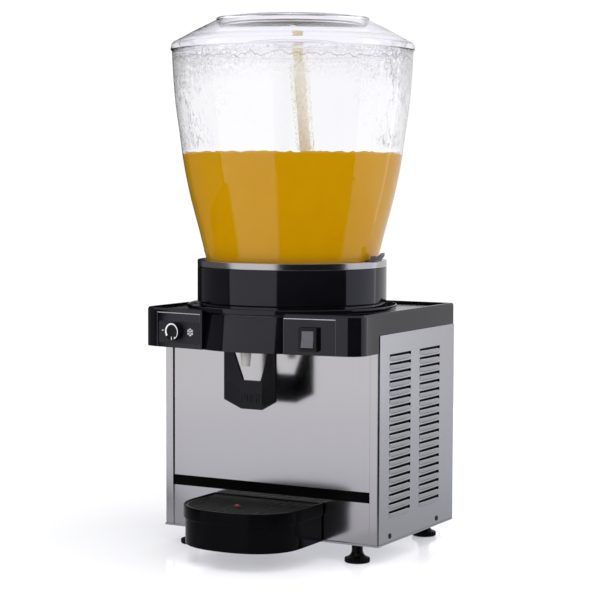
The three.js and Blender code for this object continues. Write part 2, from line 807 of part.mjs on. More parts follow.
function letterSolids(word, bottom) {
  const pitch = pushLetterWide + pushLetterStroke + pushLetterGap;
  const start = (-(word.length - 1) / 2) * pitch;
  const strokes = [];
  [...word].forEach((letter, place) => {
    for (const [sx, sz, way, share] of letterShares[letter]) {
      const x = start + place * pitch + (sx - 0.5) * pushLetterWide;
      const z = bottom + sz * pushLetterHigh;
      const half = pushLetterStroke / 2;
      const along = way === "across" ? share * pushLetterWide : 0;
      const up = way === "up" ? share * pushLetterHigh : 0;
      const front = -leverFaceReach - pushLetterDeep;
      strokes.push(block(x - half, x + along + half, front, -leverFaceReach + cutOver, z - half, z + up + half));
    }
  });
  return wasm.Manifold.union(strokes);
}

// Grooves on a wing, side by side and parallel to its slanted foot
function wingGrooves(side) {
  const grooves = [];
  const x0 = leverFaceHalf + ribInset;
  const x1 = leverHalf - ribInset;
  const slope = (leverDrop - leverCornerDrop) / (leverHalf - leverFaceHalf);
  for (let i = 1; i <= ribCount; i++) {
    const z0 = apronFoot - leverDrop + i * ribPitch + slope * ribInset;
    const z1 = z0 + slope * (x1 - x0);
    const outline = [[side * x0, z0], [side * x1, z1], [side * x1, z1 + ribHigh], [side * x0, z0 + ribHigh]];
    const cutter = slab(side < 0 ? outline.reverse() : outline, -leverWingReach - grooveCutOut, 0);
    const skin = prism([
      [side * (leverFaceHalf - cutOver), leverFront(leverFaceHalf) + ribDeep],
      [side * leverHalf, leverFront(leverHalf) + ribDeep],
      [side * leverHalf, -leverWingReach - grooveCutOut],
      [side * (leverFaceHalf - cutOver), -leverWingReach - grooveCutOut],
    ], apronFoot - leverDrop, apronFoot);
    grooves.push(cutter.intersect(skin));
  }
  return wasm.Manifold.union(grooves);
}

function makeLever() {
  const xs = [-leverHalf, -leverFaceHalf, leverFaceHalf, leverHalf];
  const plan = [...xs.map((x) => [x, leverFront(x)]), ...xs.toReversed().map((x) => [x, leverFront(x) + leverThick])];
  const foot = apronFoot - leverDrop;
  const notchZ = apronFoot - leverNotchDrop;
  const cornerZ = apronFoot - leverCornerDrop;
  const armTop = headTop + seatGap + bridgeThick;
  const armIn = leverHalf - leverArmWide;
  const face = [
    [-leverHalf, armTop], [-leverHalf, cornerZ], [-leverFaceHalf, foot], [leverFaceHalf, foot],
    [leverHalf, cornerZ], [leverHalf, armTop], [armIn, armTop], [armIn, apronFoot],
    [leverNotchHalf, notchZ], [-leverNotchHalf, notchZ], [-armIn, apronFoot], [-armIn, armTop],
  ];
  let lever = prism(plan, foot, armTop).intersect(slab(face, -caseWidth, 0));
  const bridgeFoot = headTop + seatGap;
  const bridgeY = leverFront(leverHalf) + leverThick;
  const bridge = block(-leverHalf, leverHalf, bridgeY - bridgeDeep, bridgeY, bridgeFoot, armTop);
  const finger = block(
    -fingerHalf, fingerHalf, -leverPivotReach - fingerReach, bridgeY, bridgeFoot, armTop,
  );
  lever = join(lever, bridge, finger);
  for (const side of [-1, 1]) {
    const lug = drum(trunnionRadius * 2, 0, leverArmWide, smallRound).rotate([0, side * 90, 0]);
    lever = lever.add(moved(lug, side * armIn, -leverPivotReach, pivotZ));
    const pin = drum(trunnionRadius, 0, leverArmWide + seatGap * 3 + earThick, smallRound).rotate([0, side * 90, 0]);
    lever = lever.add(moved(pin, side * armIn, -leverPivotReach, pivotZ));
    lever = lever.subtract(wingGrooves(side));
  }
  return lever.add(letterSolids("PUSH", foot + ribPitch * 2));
}

place("tap_lever", makeLever(), glossBlack);

// Control label, thermostat and its knob on the left pod
const labelWide = 70.4;
const labelHigh = 29;
const labelThick = 0.5;
const labelHole = 4;
const labelShift = 3;
const knobRadius = 12;
const knobOut = 11.8;
const shaftRadius = 3;
const shaftOut = 8.5;
const pointerHalf = 1;
const knobClear = 0.8;
const statWide = 30;
const statHigh = 26;
const statDeep = 20;

function podGroup(side) {
  const group = new THREE.Group();
  group.position.set(side * podCentreX, podLineY(podCentreX, 0), apronFoot + podCentreHeight);
  group.rotation.z = side * podTurn;
  machine.add(group);
  return group;
}
const leftPod = podGroup(-1);
const rightPod = podGroup(1);

function facing(body) {
  return body.rotate([90, 0, 0]);
}

// The knob, its shaft and the thermostat share an axis that lies outwards of the pod's middle
const knobAxis = new THREE.Group();
knobAxis.position.set(-knobShift, 0, knobUp);
leftPod.add(knobAxis);

function makeLabel() {
  const plate = block(
    -labelWide / 2 - labelShift, labelWide / 2 - labelShift, -seatGap - labelThick, -seatGap,
    -labelHigh / 2, labelHigh / 2,
  );
  const hole = facing(drum(labelHole, -cutOver, seatGap + labelThick + cutOver, smallRound));
  return plate.subtract(moved(hole, -knobShift, 0, knobUp));
}

function makeKnob() {
  const foot = seatGap + labelThick + knobClear;
  const cap = turned([
    [0, foot], [knobRadius, foot], [knobRadius, knobOut - seatGap * 2], [knobRadius - seatGap * 2, knobOut],
    [0, knobOut],
  ], midRound);
  const bore = drum(shaftRadius + seatGap, foot - cutOver, shaftOut + seatGap, smallRound);
  const tip = knobRadius - seatGap * 4;
  const pointer = block(
    -pointerHalf, pointerHalf, -tip, -tip / 2, knobOut - pointerHalf, knobOut + pointerHalf / 2,
  );
  return facing(cap.subtract(bore).add(pointer));
}

function makeThermostat() {
  const box = block(
    -statWide / 2, statWide / 2, housingWall + seatGap, housingWall + seatGap + statDeep, -statHigh / 2, statHigh / 2,
  );
  const shaft = facing(drum(shaftRadius, -housingWall - seatGap * 4, shaftOut, smallRound));
  return box.add(shaft);
}

place("control_label", makeLabel(), labelGrey, leftPod);
place("thermostat_knob", makeKnob(), glossBlack, knobAxis);
place("thermostat_body", makeThermostat(), galvanised, knobAxis);

// Switch on the right pod: a proud frame, and a rocker that tilts on two pins
const bezelWide = 24.5;
const bezelHigh = 30.5;
const bezelOut = 9;
const bezelRim = 3;
const switchDeep = 20;
const switchWall = 1.6;
const rockerTilt = 8;
const rockerDeep = 7;
const rockerPinRadius = 1.2;
const rockerPinLong = 1.4;
const rockerSlack = 1;

function makeBezel() {
  const frame = block(-bezelWide / 2, bezelWide / 2, -bezelOut, -seatGap, -bezelHigh / 2, bezelHigh / 2);
  const body = block(
    -switchBodyWidth / 2, switchBodyWidth / 2, -cutOver, switchDeep, -switchBodyHeight / 2, switchBodyHeight / 2,
  );
  const roomX = switchBodyWidth / 2 - switchWall;
  const roomZ = switchBodyHeight / 2 - switchWall;
  const room = block(-roomX, roomX, -bezelOut - cutOver, -bezelOut + rockerDeep + rockerSlack * 3, -roomZ, roomZ);
  const pinHole = drum(rockerPinRadius + seatGap, -bezelWide, bezelWide, tinyRound).rotate([0, 90, 0]);
  const blind = block(
    -roomX - rockerPinLong - seatGap, roomX + rockerPinLong + seatGap, -caseWidth, caseWidth, -caseWidth, caseWidth,
  );
  return cut(join(frame, body), room, moved(pinHole, 0, -bezelOut + rockerDeep / 2, 0).intersect(blind));
}

// The rocker is a shallow V in side view, so that its halves meet at the pins
function makeRocker() {
  const half = switchBodyHeight / 2 - switchWall - rockerSlack;
  const wide = switchBodyWidth - (switchWall + seatGap) * 2;
  const rise = Math.tan((rockerTilt * Math.PI) / 180) * half;
  const front = -rockerDeep / 2;
  const back = rockerDeep / 2;
  const outline = [
    [front - rise / 2, -half], [front + rise / 4, 0], [front - rise / 2, half],
    [back - rise / 2, half - rise / 2], [back, 0], [back - rise / 2, -half + rise / 2],
  ];
  const shape = new THREE.Shape(outline.map(([y, z]) => new THREE.Vector2(y, z)));
  const geometry = new THREE.ExtrudeGeometry(shape, { depth: wide, bevelEnabled: false });
  geometry.applyMatrix4(new THREE.Matrix4().makeBasis(
    new THREE.Vector3(0, 1, 0), new THREE.Vector3(0, 0, 1), new THREE.Vector3(1, 0, 0),
  ));
  geometry.translate(-wide / 2, 0, 0);
  const pinEnd = wide / 2 + rockerPinLong;
  const pin = drum(rockerPinRadius, -pinEnd, pinEnd, tinyRound).rotate([0, 90, 0]);
  return solid(geometry).add(pin);
}

place("switch_bezel", makeBezel(), dullBlack, rightPod);
const rocker = place("switch_rocker", makeRocker(), rockerGrey, rightPod);
rocker.position.y = -bezelOut + rockerDeep / 2;
rocker.rotation.x = (-rockerTilt * Math.PI) / 180;

// Seat ring: a shallow round gutter on the deck, with the step that carries the collar
const ringLip = 8.4;
const ringFloor = 2.2;
const ringLipWall = 2.4;
const ringStepOut = 127;
const ringStepIn = 113;
const ringFoot = deckTop + seatGap;

place("seat_ring", turned([
  [ringStepIn, ringFoot], [ringSeatRadius - ringFloor, ringFoot], [ringSeatRadius, ringFoot + ringFloor],
  [ringSeatRadius, ringFoot + ringLip - ringFloor / 2], [ringSeatRadius - ringLipWall / 2, ringFoot + ringLip],
  [ringSeatRadius - ringLipWall, ringFoot + ringLip - ringFloor / 2], [ringSeatRadius - ringLipWall, ringFoot + ringFloor],
  [ringStepOut, ringFoot + ringFloor], [ringStepOut, collarFoot - seatGap], [ringStepIn, collarFoot - seatGap],
], bigRound), glossBlack);

// Collar: the black drum wall that carries the steel rim
const collarWall = 3;
const collarLip = 1.5;

place("collar", turned([
  [stackRadius - collarWall, collarFoot], [stackRadius - collarLip, collarFoot],
  [stackRadius, collarFoot + collarLip], [stackRadius, collarTop],
  [stackRadius - collarWall, collarTop],
], bigRound), glossBlack);

// Evaporator dish: the steel rim, the seat of the bowl, the cold floor and the raised hub over the drive magnet
const hubRadius = 34;
const hubRise = 6;
const rimFace = 1.8;
const outletRadius = 3.4;

function makeDish() {
  const lip = stackRadius - rimFace;
  const wallOut = dishSeatRadius + dishWall;
  const body = turned([
    [0, dishUnder + hubRise], [hubRadius - dishWall, dishUnder + hubRise], [hubRadius - dishWall, dishUnder],
    [wallOut, dishUnder], [wallOut, dishRimTop - dishWall], [lip, dishRimTop - dishWall], [lip, dishRimFoot],
    [stackRadius, dishRimFoot], [stackRadius, dishRimTop - rimFace / 2], [stackRadius - rimFace / 2, dishRimTop],
    [dishSeatRadius, dishRimTop], [dishSeatRadius, dishFloor], [hubRadius, dishFloor],
    [hubRadius, dishFloor + hubRise], [0, dishFloor + hubRise],
  ], bigRound);
  const outlet = drum(outletRadius, dishUnder - cutOver, dishFloor + cutOver, smallRound);
  return body.subtract(moved(outlet, 0, -feedReach, 0));
}

place("evaporator_dish", makeDish(), steel);

// Evaporator coil: a flat spiral of tube under the cold floor, with a straight tail at each end
const coilTube = 3;
const coilInner = 46;
const coilOuter = 82;
const coilTurns = 3;
const coilSteps = 14;
const coilTail = 60;
const coilZ = dishUnder - moveGap - coilTube;
const tailZ = ringFoot - coilTail / 3;

function makeCoil() {
  const points = [[coilInner, 0, tailZ], [coilInner, 0, coilZ - coilTail / 3], [coilInner, 0, coilZ - coilTube * 2]];
  for (let i = 1; i <= coilTurns * coilSteps; i++) {
    const turn = (i / coilSteps) * Math.PI * 2;
    const radius = coilInner + ((coilOuter - coilInner) * i) / (coilTurns * coilSteps);
    points.push([Math.cos(turn) * radius, Math.sin(turn) * radius, coilZ]);
  }
  points.push([coilOuter + coilTube, coilTube * 4, coilZ - coilTube * 3]);
  points.push([coilOuter + coilTube, coilTube * 4, coilZ - coilTail / 3]);
  points.push([coilOuter + coilTube, coilTube * 4, tailZ]);
  return tubeAlong(points, coilTube, 0, 3, points.length);
}

place("evaporator_coil", makeCoil(), copper);

// Foam round the cold parts, with room for the magnet, the feed pipe and the tails of the coil
const foamHeight = 38;
const magnetRoom = 38;
const pipeRoom = 1.5;
const foamTop = coilZ - coilTube - seatGap;
const foamFoot = foamTop - foamHeight;

function makeFoam() {
  let foam = ringSolid(magnetRoom, stackRadius - collarWall - seatGap, foamFoot, foamTop, bigRound);
  const rooms = [
    [0, -feedReach, feedRadius + pipeRoom],
    [coilInner, 0, coilTube + pipeRoom],
    [coilOuter + coilTube, coilTube * 4, coilTube + pipeRoom * 2],
  ];
  for (const [x, y, radius] of rooms) {
    foam = foam.subtract(moved(drum(radius, foamFoot - cutOver, foamTop + cutOver, smallRound), x, y, 0));
  }
  const ramp = block(
    coilInner - coilTube * 5, coilOuter + coilTube * 5, -coilTube * 4, coilTube * 13, foamTop - coilTube * 6, foamTop + cutOver,
  );
  return foam.subtract(ramp);
}

place("insulation", makeFoam(), foamWhite);

// Gasket between the dish and the foot of the bowl
const gasketHeight = 2.5;
const gasketWide = 5;
const gasketFoot = dishFloor + seatGap;
const bowlFoot = gasketFoot + gasketHeight + seatGap;
const gasketOuter = dishSeatRadius - seatGap;

place(
  "bowl_gasket",
  ringSolid(gasketOuter - gasketWide, gasketOuter, gasketFoot, gasketFoot + gasketHeight, bigRound),
  sealGrey,
);

// Bowl: a bottomless clear barrel that widens upwards, as shares of its height and of its widening
const bowlShares = [
  [0, 0], [0.156, 0.233], [0.308, 0.471], [0.459, 0.658], [0.611, 0.785], [0.8, 0.925], [1, 1],
];
const lugReach = 10;
const lugWide = 16;
const lugThick = 2.4;
const latchPinRadius = 2;
const bowlTop = bowlFoot + bowlHeight;
const bowlSpread = bowlRimRadius - bowlFootRadius;
const lugFoot = dishRimTop + seatGap;
const lugTop = lugFoot + lugThick;
const latchPinX = bowlFootRadius + lugReach;
const latchThick = 4.2;

function makeBowl() {
  const outside = bowlShares.map(([up, out]) => [bowlFootRadius + bowlSpread * out, bowlFoot + bowlHeight * up]);
  const inside = outside.map(([r, z]) => [r - bowlWall, z]).reverse();
  let bowl = turned([...outside, ...inside], bigRound);
  for (const side of [-1, 1]) {
    const x = [side * (bowlFootRadius - bowlWall / 2), side * (latchPinX + latchPinRadius * 2)].sort((a, b) => a - b);
    bowl = bowl.add(block(...x, -lugWide / 2, lugWide / 2, lugFoot, lugTop));
    const pin = drum(latchPinRadius, lugTop - lugThick / 2, lugTop + seatGap + latchThick + seatGap, smallRound);
    bowl = bowl.add(moved(pin, side * latchPinX, 0, 0));
  }
  return bowl;
}

place("bowl", makeBowl(), clearPlastic);

// Latches: swivel clips on the lugs, each with a raised tongue
const latchWide = 11;
const latchOuter = 134;
const tongueReach = 138;
const tongueRise = 5;
const tongueThick = 1.8;

function makeLatch(name, side) {
  const foot = lugTop + seatGap;
  const top = foot + latchThick;
  const profile = [
    [latchPinX, foot], [latchOuter, foot], [tongueReach, foot + tongueRise],
    [tongueReach, top + tongueRise], [latchOuter - tongueThick, top], [latchPinX, top],
  ].map(([x, z]) => [x * side, z]);
  const tongue = slab(side < 0 ? profile.reverse() : profile, -latchWide / 2, latchWide / 2);
  const arm = tongue.add(moved(drum(latchWide / 2, foot, top, smallRound), side * latchPinX, 0, 0));
  const hole = drum(latchPinRadius + seatGap, foot - cutOver, top + cutOver, smallRound);
  place(name, arm.subtract(moved(hole, side * latchPinX, 0, 0)), clipGrey);
}

makeLatch("bowl_latch_left", -1);
makeLatch("bowl_latch_right", 1);

// Lid: a clear cone with a rolled edge, a round rib and a sunk middle
const lidOverhang = 1.8;
const lidEdge = 8.6;
const lidEdgeDraft = 1.4;
const lidWall = 2.4;
const lidShoulderIn = 8.9;
const lidShoulderUp = 13;
const lidMidIn = 28.3;
const lidMidUp = 23.5;
const lidRibIn = 61.8;
const lidRibWide = 4;
const lidRibUp = 43.2;
const lidConeUp = 40.5;
const lidSunkUp = 34;
const lidLipDrop = 7;
const lidLipGap = 1.2;
const lidFoot = bowlTop + seatGap;
const lidRadius = bowlRimRadius + lidOverhang;
const lidMidRadius = lidRadius - lidMidIn;
const lidRibRadius = lidRadius - lidRibIn;

function makeLid() {
  const lipOuter = bowlRimRadius - bowlWall - lidLipGap;
  const shoulder = lidRadius - lidShoulderIn;
  const ribIn = lidRibRadius - lidRibWide;
  const up = (height) => lidFoot + height;
  return turned([
    [0, up(lidSunkUp - lidWall)], [ribIn, up(lidSunkUp - lidWall)], [lidRibRadius, up(lidConeUp - lidWall)],
    [lidMidRadius, up(lidMidUp - lidWall)], [shoulder - lidWall, up(lidShoulderUp - lidWall)],
    [lipOuter - lidWall, up(lidEdge)], [lipOuter - lidWall, up(-lidLipDrop)], [lipOuter, up(-lidLipDrop)],
    [lipOuter, up(0)], [lidRadius, up(0)], [lidRadius - lidEdgeDraft, up(lidEdge)], [shoulder, up(lidShoulderUp)],
    [lidMidRadius, up(lidMidUp)], [lidRibRadius, up(lidConeUp)], [lidRibRadius, up(lidRibUp)],
    [ribIn, up(lidRibUp)], [ribIn, up(lidSunkUp)], [0, up(lidSunkUp)],
  ], bigRound);
}

place("lid", makeLid(), clearPlastic);

// Impeller over the hub of the dish
const impellerRadius = 25;
const impellerDisc = 3;
const impellerVane = 8;
const impellerVanes = 6;
const vaneThick = 2;
const impellerHub = 6;
const pumpPinRadius = 2;
const hubTop = dishFloor + hubRise;
const impellerFoot = hubTop + moveGap;

function makeImpeller() {
  const disc = drum(impellerRadius, impellerFoot, impellerFoot + impellerDisc, midRound);
  const top = impellerFoot + impellerDisc + impellerVane;
  let body = disc.add(drum(impellerHub, impellerFoot, top, smallRound));
  for (let i = 0; i < impellerVanes; i++) {
    const vane = block(
      impellerHub / 2, impellerRadius - cutOver, -vaneThick / 2, vaneThick / 2, impellerFoot + impellerDisc / 2, top,
    );
    body = body.add(vane.rotate([0, 0, (i * 360) / impellerVanes]));
  }
  const bore = drum(pumpPinRadius + seatGap, impellerFoot - cutOver, top + cutOver, tinyRound);
  return body.subtract(bore);
}

place("impeller", makeImpeller(), tubeWhite);

// Pump cover: a dome on the cold floor with inlet windows, a pin for the impeller and a leaning outlet spigot
const coverRadius = 42;
const coverWall = 2.4;
const coverHeight = 30;
const windowWide = 24;
const windowHigh = 6;
const windowCount = 3;
const spigotX = 32;
const spigotRadius = 5;
const spigotLength = 12;
const sprayTopX = 9;
const sprayTopDrop = 16;
const coverFoot = dishFloor + seatGap;
const coverTop = coverFoot + coverHeight;
const sprayTopZ = bowlTop - sprayTopDrop;
const sprayLean = Math.atan2(spigotX - sprayTopX, sprayTopZ - coverTop);

function leaned(body) {
  return moved(body.rotate([0, (-sprayLean * 180) / Math.PI, 0]), spigotX, 0, coverTop);
}

function makePumpCover() {
  const dome = turned([
    [0, coverFoot], [coverRadius, coverFoot], [coverRadius, coverFoot + coverHeight * 0.7],
    [coverRadius - coverWall * 2, coverTop], [0, coverTop],
  ], midRound);
  const roomRadius = coverRadius - coverWall;
  const room = turned([
    [0, coverFoot - cutOver], [roomRadius, coverFoot - cutOver], [roomRadius, coverFoot + coverHeight * 0.65],
    [roomRadius - coverWall * 2, coverTop - coverWall], [0, coverTop - coverWall],
  ], midRound);
  const pin = drum(pumpPinRadius, impellerFoot + moveGap, coverTop - coverWall / 2, tinyRound);
  let cover = cut(dome, room).add(pin);
  cover = cover.add(leaned(drum(spigotRadius, -coverWall, spigotLength, smallRound)));
  cover = cover.subtract(leaned(drum(spigotRadius - coverWall / 2, -coverWall * 3, spigotLength + cutOver, smallRound)));
  for (let i = 0; i < windowCount; i++) {
    const opening = block(
      roomRadius / 2, coverRadius + cutOver, -windowWide / 2, windowWide / 2, coverFoot - cutOver, coverFoot + windowHigh,
    );
    cover = cover.subtract(opening.rotate([0, 0, 60 + (i * 360) / windowCount]));
  }
  return cover;
}

place("pump_cover", makePumpCover(), tubeWhite);

// Spray tube: the clear riser that plugs over the spigot and leans towards the middle of the lid
const sprayRadius = 7;
const sprayBore = 5.5;
const sprayLength = Math.hypot(spigotX - sprayTopX, sprayTopZ - coverTop);

place(
  "spray_tube",
  leaned(ringSolid(sprayBore, sprayRadius, sprayRadius * Math.tan(sprayLean) + seatGap, sprayLength, smallRound)),
  clearPlastic,
);

// Pump drive under the hub: a motor on a bracket, with the magnet on its shaft
const magnetRadius = 27;
const magnetHeight = 9;
const driveShaftRadius = 3;
const driveRadius = 30;
const driveHeight = 52;
const driveBelow = 26;
const driveTop = deckFoot - driveBelow;
const magnetTop = dishUnder + hubRise - moveGap;
const magnetFoot = magnetTop - magnetHeight;

place("drive_magnet", join(
  drum(magnetRadius, magnetFoot, magnetTop, midRound),
  drum(driveShaftRadius, driveTop + moveGap, magnetFoot + cutOver, tinyRound),
), magnetGrey);
place("drive_motor", join(
  drum(driveRadius, driveTop - driveHeight, driveTop, midRound),
  ringSolid(driveShaftRadius + moveGap, driveRadius / 2, driveTop - cutOver, driveTop + driveShaftRadius * 2, smallRound),
), compressorBlack);

// Bracket: a channel under the deck that carries the drive motor
const bracketWide = 70;
const bracketSheet = 2;
const bracketHalf = 122;
const bracketFlange = 10;

function makeDriveBracket() {
  const foot = driveTop + seatGap;
  const top = deckFoot - seatGap;
  const web = block(-bracketHalf, bracketHalf, -bracketWide / 2, bracketWide / 2, foot, foot + bracketSheet);
  const parts = [web];
  for (const side of [-1, 1]) {
    const leg = [side * bracketHalf, side * (bracketHalf - bracketSheet)].sort((a, b) => a - b);
    parts.push(block(...leg, -bracketWide / 2, bracketWide / 2, foot, top));
    const flange = [side * bracketHalf, side * (bracketHalf - bracketFlange)].sort((a, b) => a - b);
    parts.push(block(...flange, -bracketWide / 2, bracketWide / 2, top - bracketSheet, top));
  }
  const frame = wasm.Manifold.union(parts);
  const collarRoom = drum(driveRadius / 2 + moveGap, foot - cutOver, foot + bracketSheet + cutOver, smallRound);
  const tails = [[coilInner, 0], [coilOuter + coilTube, coilTube * 4]].map(([x, y]) => (
    moved(drum(coilTube + pipeRoom, foot - cutOver, foot + bracketSheet + cutOver, tinyRound), x, y, 0)
  ));
  return cut(frame, collarRoom, ...tails);
}

place("motor_bracket", makeDriveBracket(), galvanised);

// Compressor: a domed pot on a footed plate
const potSideIn = 103;
const potRearIn = 95;
const potX = -caseHalf + potSideIn;
const potY = caseRearReach - potRearIn;
const potRadius = 62;
const potDeepShare = 0.85;
const potFoot = 12;
const potHeight = 160;
const potSeam = 3;
const legPlate = 3;
const legX = 62;
const legY = 58;
const legRadius = 8;
const stubRadius = 5;
const stubRise = 2;
const stubReach = 20;
const panFloor = panTop + seatGap;

function makeCompressor() {
  const foot = panFloor + potFoot;
  const top = foot + potHeight;
  const seam = foot + potHeight * 0.55;
  const dome = turned([
    [0, foot], [potRadius * 0.8, foot + legPlate], [potRadius - potSeam, foot + potHeight * 0.14],
    [potRadius - potSeam, seam - potSeam], [potRadius, seam - potSeam], [potRadius, seam + potSeam],
    [potRadius - potSeam, seam + potSeam], [potRadius - potSeam * 2, top - potHeight * 0.2],
    [potRadius * 0.62, top - potHeight * 0.04], [0, top],
  ], midRound).scale([1, potDeepShare, 1]);
  let body = dome.add(block(-legX, legX, -legY, legY, foot - legPlate, foot + legPlate));
  for (const x of [-legX + legRadius, legX - legRadius]) {
    for (const y of [-legY + legRadius, legY - legRadius]) {
      body = body.add(moved(drum(legRadius, panFloor, foot, tinyRound), x, y, 0));
    }
  }
  for (const [x, y] of [[0, -stubReach], [stubReach, 0]]) {
    body = body.add(moved(drum(stubRadius, top - potHeight / 5, top + stubRise, tinyRound), x, y, 0));
  }
  return moved(body, potX, potY, 0);
}

place("compressor", makeCompressor(), compressorBlack);

// Condenser: a finned block by the right louvres, on feet on the pan
const condenserSideIn = 43;
const condenserDeep = 32;
const condenserRearIn = 45;
const condenserWide = 146;
const condenserX = caseHalf - condenserSideIn;
const condenserRear = caseRearReach - condenserRearIn;
const condenserFront = condenserRear - condenserWide;
const condenserFoot = 14;
const condenserHeight = 156;
const finPitch = 12;
const finThick = 2;
const finCut = 11;
const headerHeight = 6;

function makeCondenser() {
  const foot = panFloor + condenserFoot;
  const left = condenserX - condenserDeep / 2;
  const right = condenserX + condenserDeep / 2;
  let body = block(left, right, condenserFront, condenserRear, foot, foot + condenserHeight);
  const grooves = [];
  for (let y = condenserFront + finThick * 2; y + finPitch < condenserRear; y += finPitch) {
    for (const x of [left, right - finCut]) {
      grooves.push(block(
        x - cutOver, x + finCut + cutOver, y, y + finPitch - finThick, foot + headerHeight, foot + condenserHeight - headerHeight,
      ));
    }
  }
  body = body.subtract(wasm.Manifold.union(grooves));
  for (const y of [condenserFront, condenserRear - condenserFoot]) {
    body = body.add(block(left, right, y, y + condenserFoot, panFloor, foot + cutOver));
  }
  return body;
}

place("condenser", makeCondenser(), galvanised);

// Fan: a shroud on the condenser, a motor on three arms and a four-bladed wheel
const shroudDeep = 16;
const fanRadius = 60;
const fanClear = 3;
const shroudWall = 6;
const fanAxisZ = panFloor + condenserFoot + condenserHeight / 2;
const fanAxisY = (condenserFront + condenserRear) / 2;
const shroudRight = condenserX - condenserDeep / 2 - seatGap;
const shroudLeft = shroudRight - shroudDeep;
const fanMotorRadius = 20;
const fanMotorLong = 30;
const armSize = 6;
const armCount = 3;
const bladeCount = 4;
const bladeThick = 1.8;
const bladePitch = 28;
const bladeHubRadius = 12;
const bladeHubLong = 12;
const fanMotorRight = shroudLeft - seatGap;

function aboutFan(body) {
  return moved(body.rotate([0, 90, 0]), 0, fanAxisY, fanAxisZ);
}

function makeShroud() {
  const plate = block(
    shroudLeft, shroudRight, condenserFront, condenserRear,
    panFloor + condenserFoot, panFloor + condenserFoot + condenserHeight,
  );
  return plate.subtract(aboutFan(drum(fanRadius + fanClear, shroudLeft - cutOver, shroudRight + cutOver, bigRound)));
}

function makeFanMotor() {
  let body = drum(fanMotorRadius, fanMotorRight - fanMotorLong, fanMotorRight - armSize / 2, midRound);
  for (let i = 0; i < armCount; i++) {
    const arm = block(
      fanMotorRadius / 2, fanRadius + fanClear + shroudWall / 2, -armSize / 2, armSize / 2, fanMotorRight - armSize, fanMotorRight,
    );
    body = body.add(arm.rotate([0, 0, 180 + (i * 360) / armCount]));
  }
  body = body.add(drum(driveShaftRadius, fanMotorRight - armSize, fanMotorRight + bladeHubLong / 2, tinyRound));
  return aboutFan(body);
}

function makeFanWheel() {
  const foot = fanMotorRight + moveGap;
  let wheel = drum(bladeHubRadius, foot, foot + bladeHubLong, midRound);
  for (let i = 0; i < bladeCount; i++) {
    const blade = block(bladeHubRadius / 2, fanRadius, -bladeHubRadius, bladeHubRadius, -bladeThick / 2, bladeThick / 2);
    const pitched = moved(blade.rotate([bladePitch, 0, 0]), 0, 0, foot + bladeHubLong / 2);
    wheel = wheel.add(pitched.rotate([0, 0, (i * 360) / bladeCount]));
  }
  const bore = drum(driveShaftRadius + seatGap, foot - cutOver, fanMotorRight + bladeHubLong / 2 + moveGap, tinyRound);
  return aboutFan(wheel.subtract(bore));
}

place("fan_shroud", makeShroud(), galvanised);
place("fan_motor", makeFanMotor(), compressorBlack);
place("fan_wheel", makeFanWheel(), fanGrey);

// Refrigerant pipes: discharge, drier, capillary and suction
const pipeRadius = 3;
const capRadius = 1.5;
const capLoopRadius = 16;
const capLoops = 2;
const capSteps = 10;
const drierRadius = 9;
const drierLong = 60;
const drierX = 20;
const drierRearIn = 23;
const drierY = caseRearReach - drierRearIn;
const pipeSides = 3;
const potTop = panFloor + potFoot + potHeight + stubRise;
const condenserTop = panFloor + condenserFoot + condenserHeight;

const dischargePath = [
  [potX, potY - stubReach, potTop + seatGap],
  [potX, potY - stubReach, potTop + pipeRadius * 3],
  [potX + pipeRadius * 5, potY - stubReach, potTop + pipeRadius * 6],
  [condenserX - pipeRadius * 8, fanAxisY, potTop + pipeRadius * 6],
  [condenserX, fanAxisY, condenserTop + pipeRadius * 5],
  [condenserX, fanAxisY, condenserTop + seatGap],
];
place("discharge_pipe", tubeAlong(dischargePath, pipeRadius, 0, pipeSides, 24), copper);

function makeDrier() {
  const foot = panFloor + drierLong / 2;
  const shell = moved(turned([
    [0, 0], [pipeRadius, 0], [drierRadius, drierRadius], [drierRadius, drierLong - drierRadius],
    [pipeRadius, drierLong], [0, drierLong],
  ], smallRound), drierX, drierY, foot);
  const inlet = tubeAlong([
    [drierX, drierY, foot + cutOver], [drierX, drierY, foot - pipeRadius * 3],
    [drierX + pipeRadius * 4, drierY, foot - pipeRadius * 6],
    [condenserX - condenserDeep / 2 - pipeRadius * 4, drierY, foot - pipeRadius * 6],
    [condenserX, drierY - pipeRadius, foot - pipeRadius * 3],
    [condenserX, condenserRear + pipeRadius * 3, foot],
    [condenserX, condenserRear + seatGap, foot],
  ], pipeRadius, 0, pipeSides, 24);
  return shell.add(inlet);
}

place("filter_drier", makeDrier(), copper);

function capillaryPath() {
  const start = panFloor + drierLong * 1.5 + seatGap;
  const points = [[drierX, drierY, start], [drierX, drierY, start + capRadius * 6]];
  const loopZ = start + capLoopRadius;
  for (let i = 1; i < capLoops * capSteps; i++) {
    const turn = (i / capSteps) * Math.PI * 2;
    points.push([
      drierX + capLoopRadius * Math.sin(turn),
      drierY - capLoopRadius + capLoopRadius * Math.cos(turn),
      loopZ + (capRadius * 6 * i) / capSteps,
    ]);
  }
  const end = loopZ + capRadius * 6 * capLoops;
  points.push([drierX, drierY, end + capRadius * 6]);
  points.push([coilInner, drierY - capLoopRadius * 2, driveTop - driveHeight / 2]);
  points.push([coilInner, capLoopRadius, tailZ - capLoopRadius * 2]);
  points.push([coilInner, 0, tailZ - capLoopRadius / 2]);
  points.push([coilInner, 0, tailZ - seatGap]);
  return points;
}
place("capillary", tubeAlong(capillaryPath(), capRadius, 0, 3, capLoops * capSteps + 16), copper);

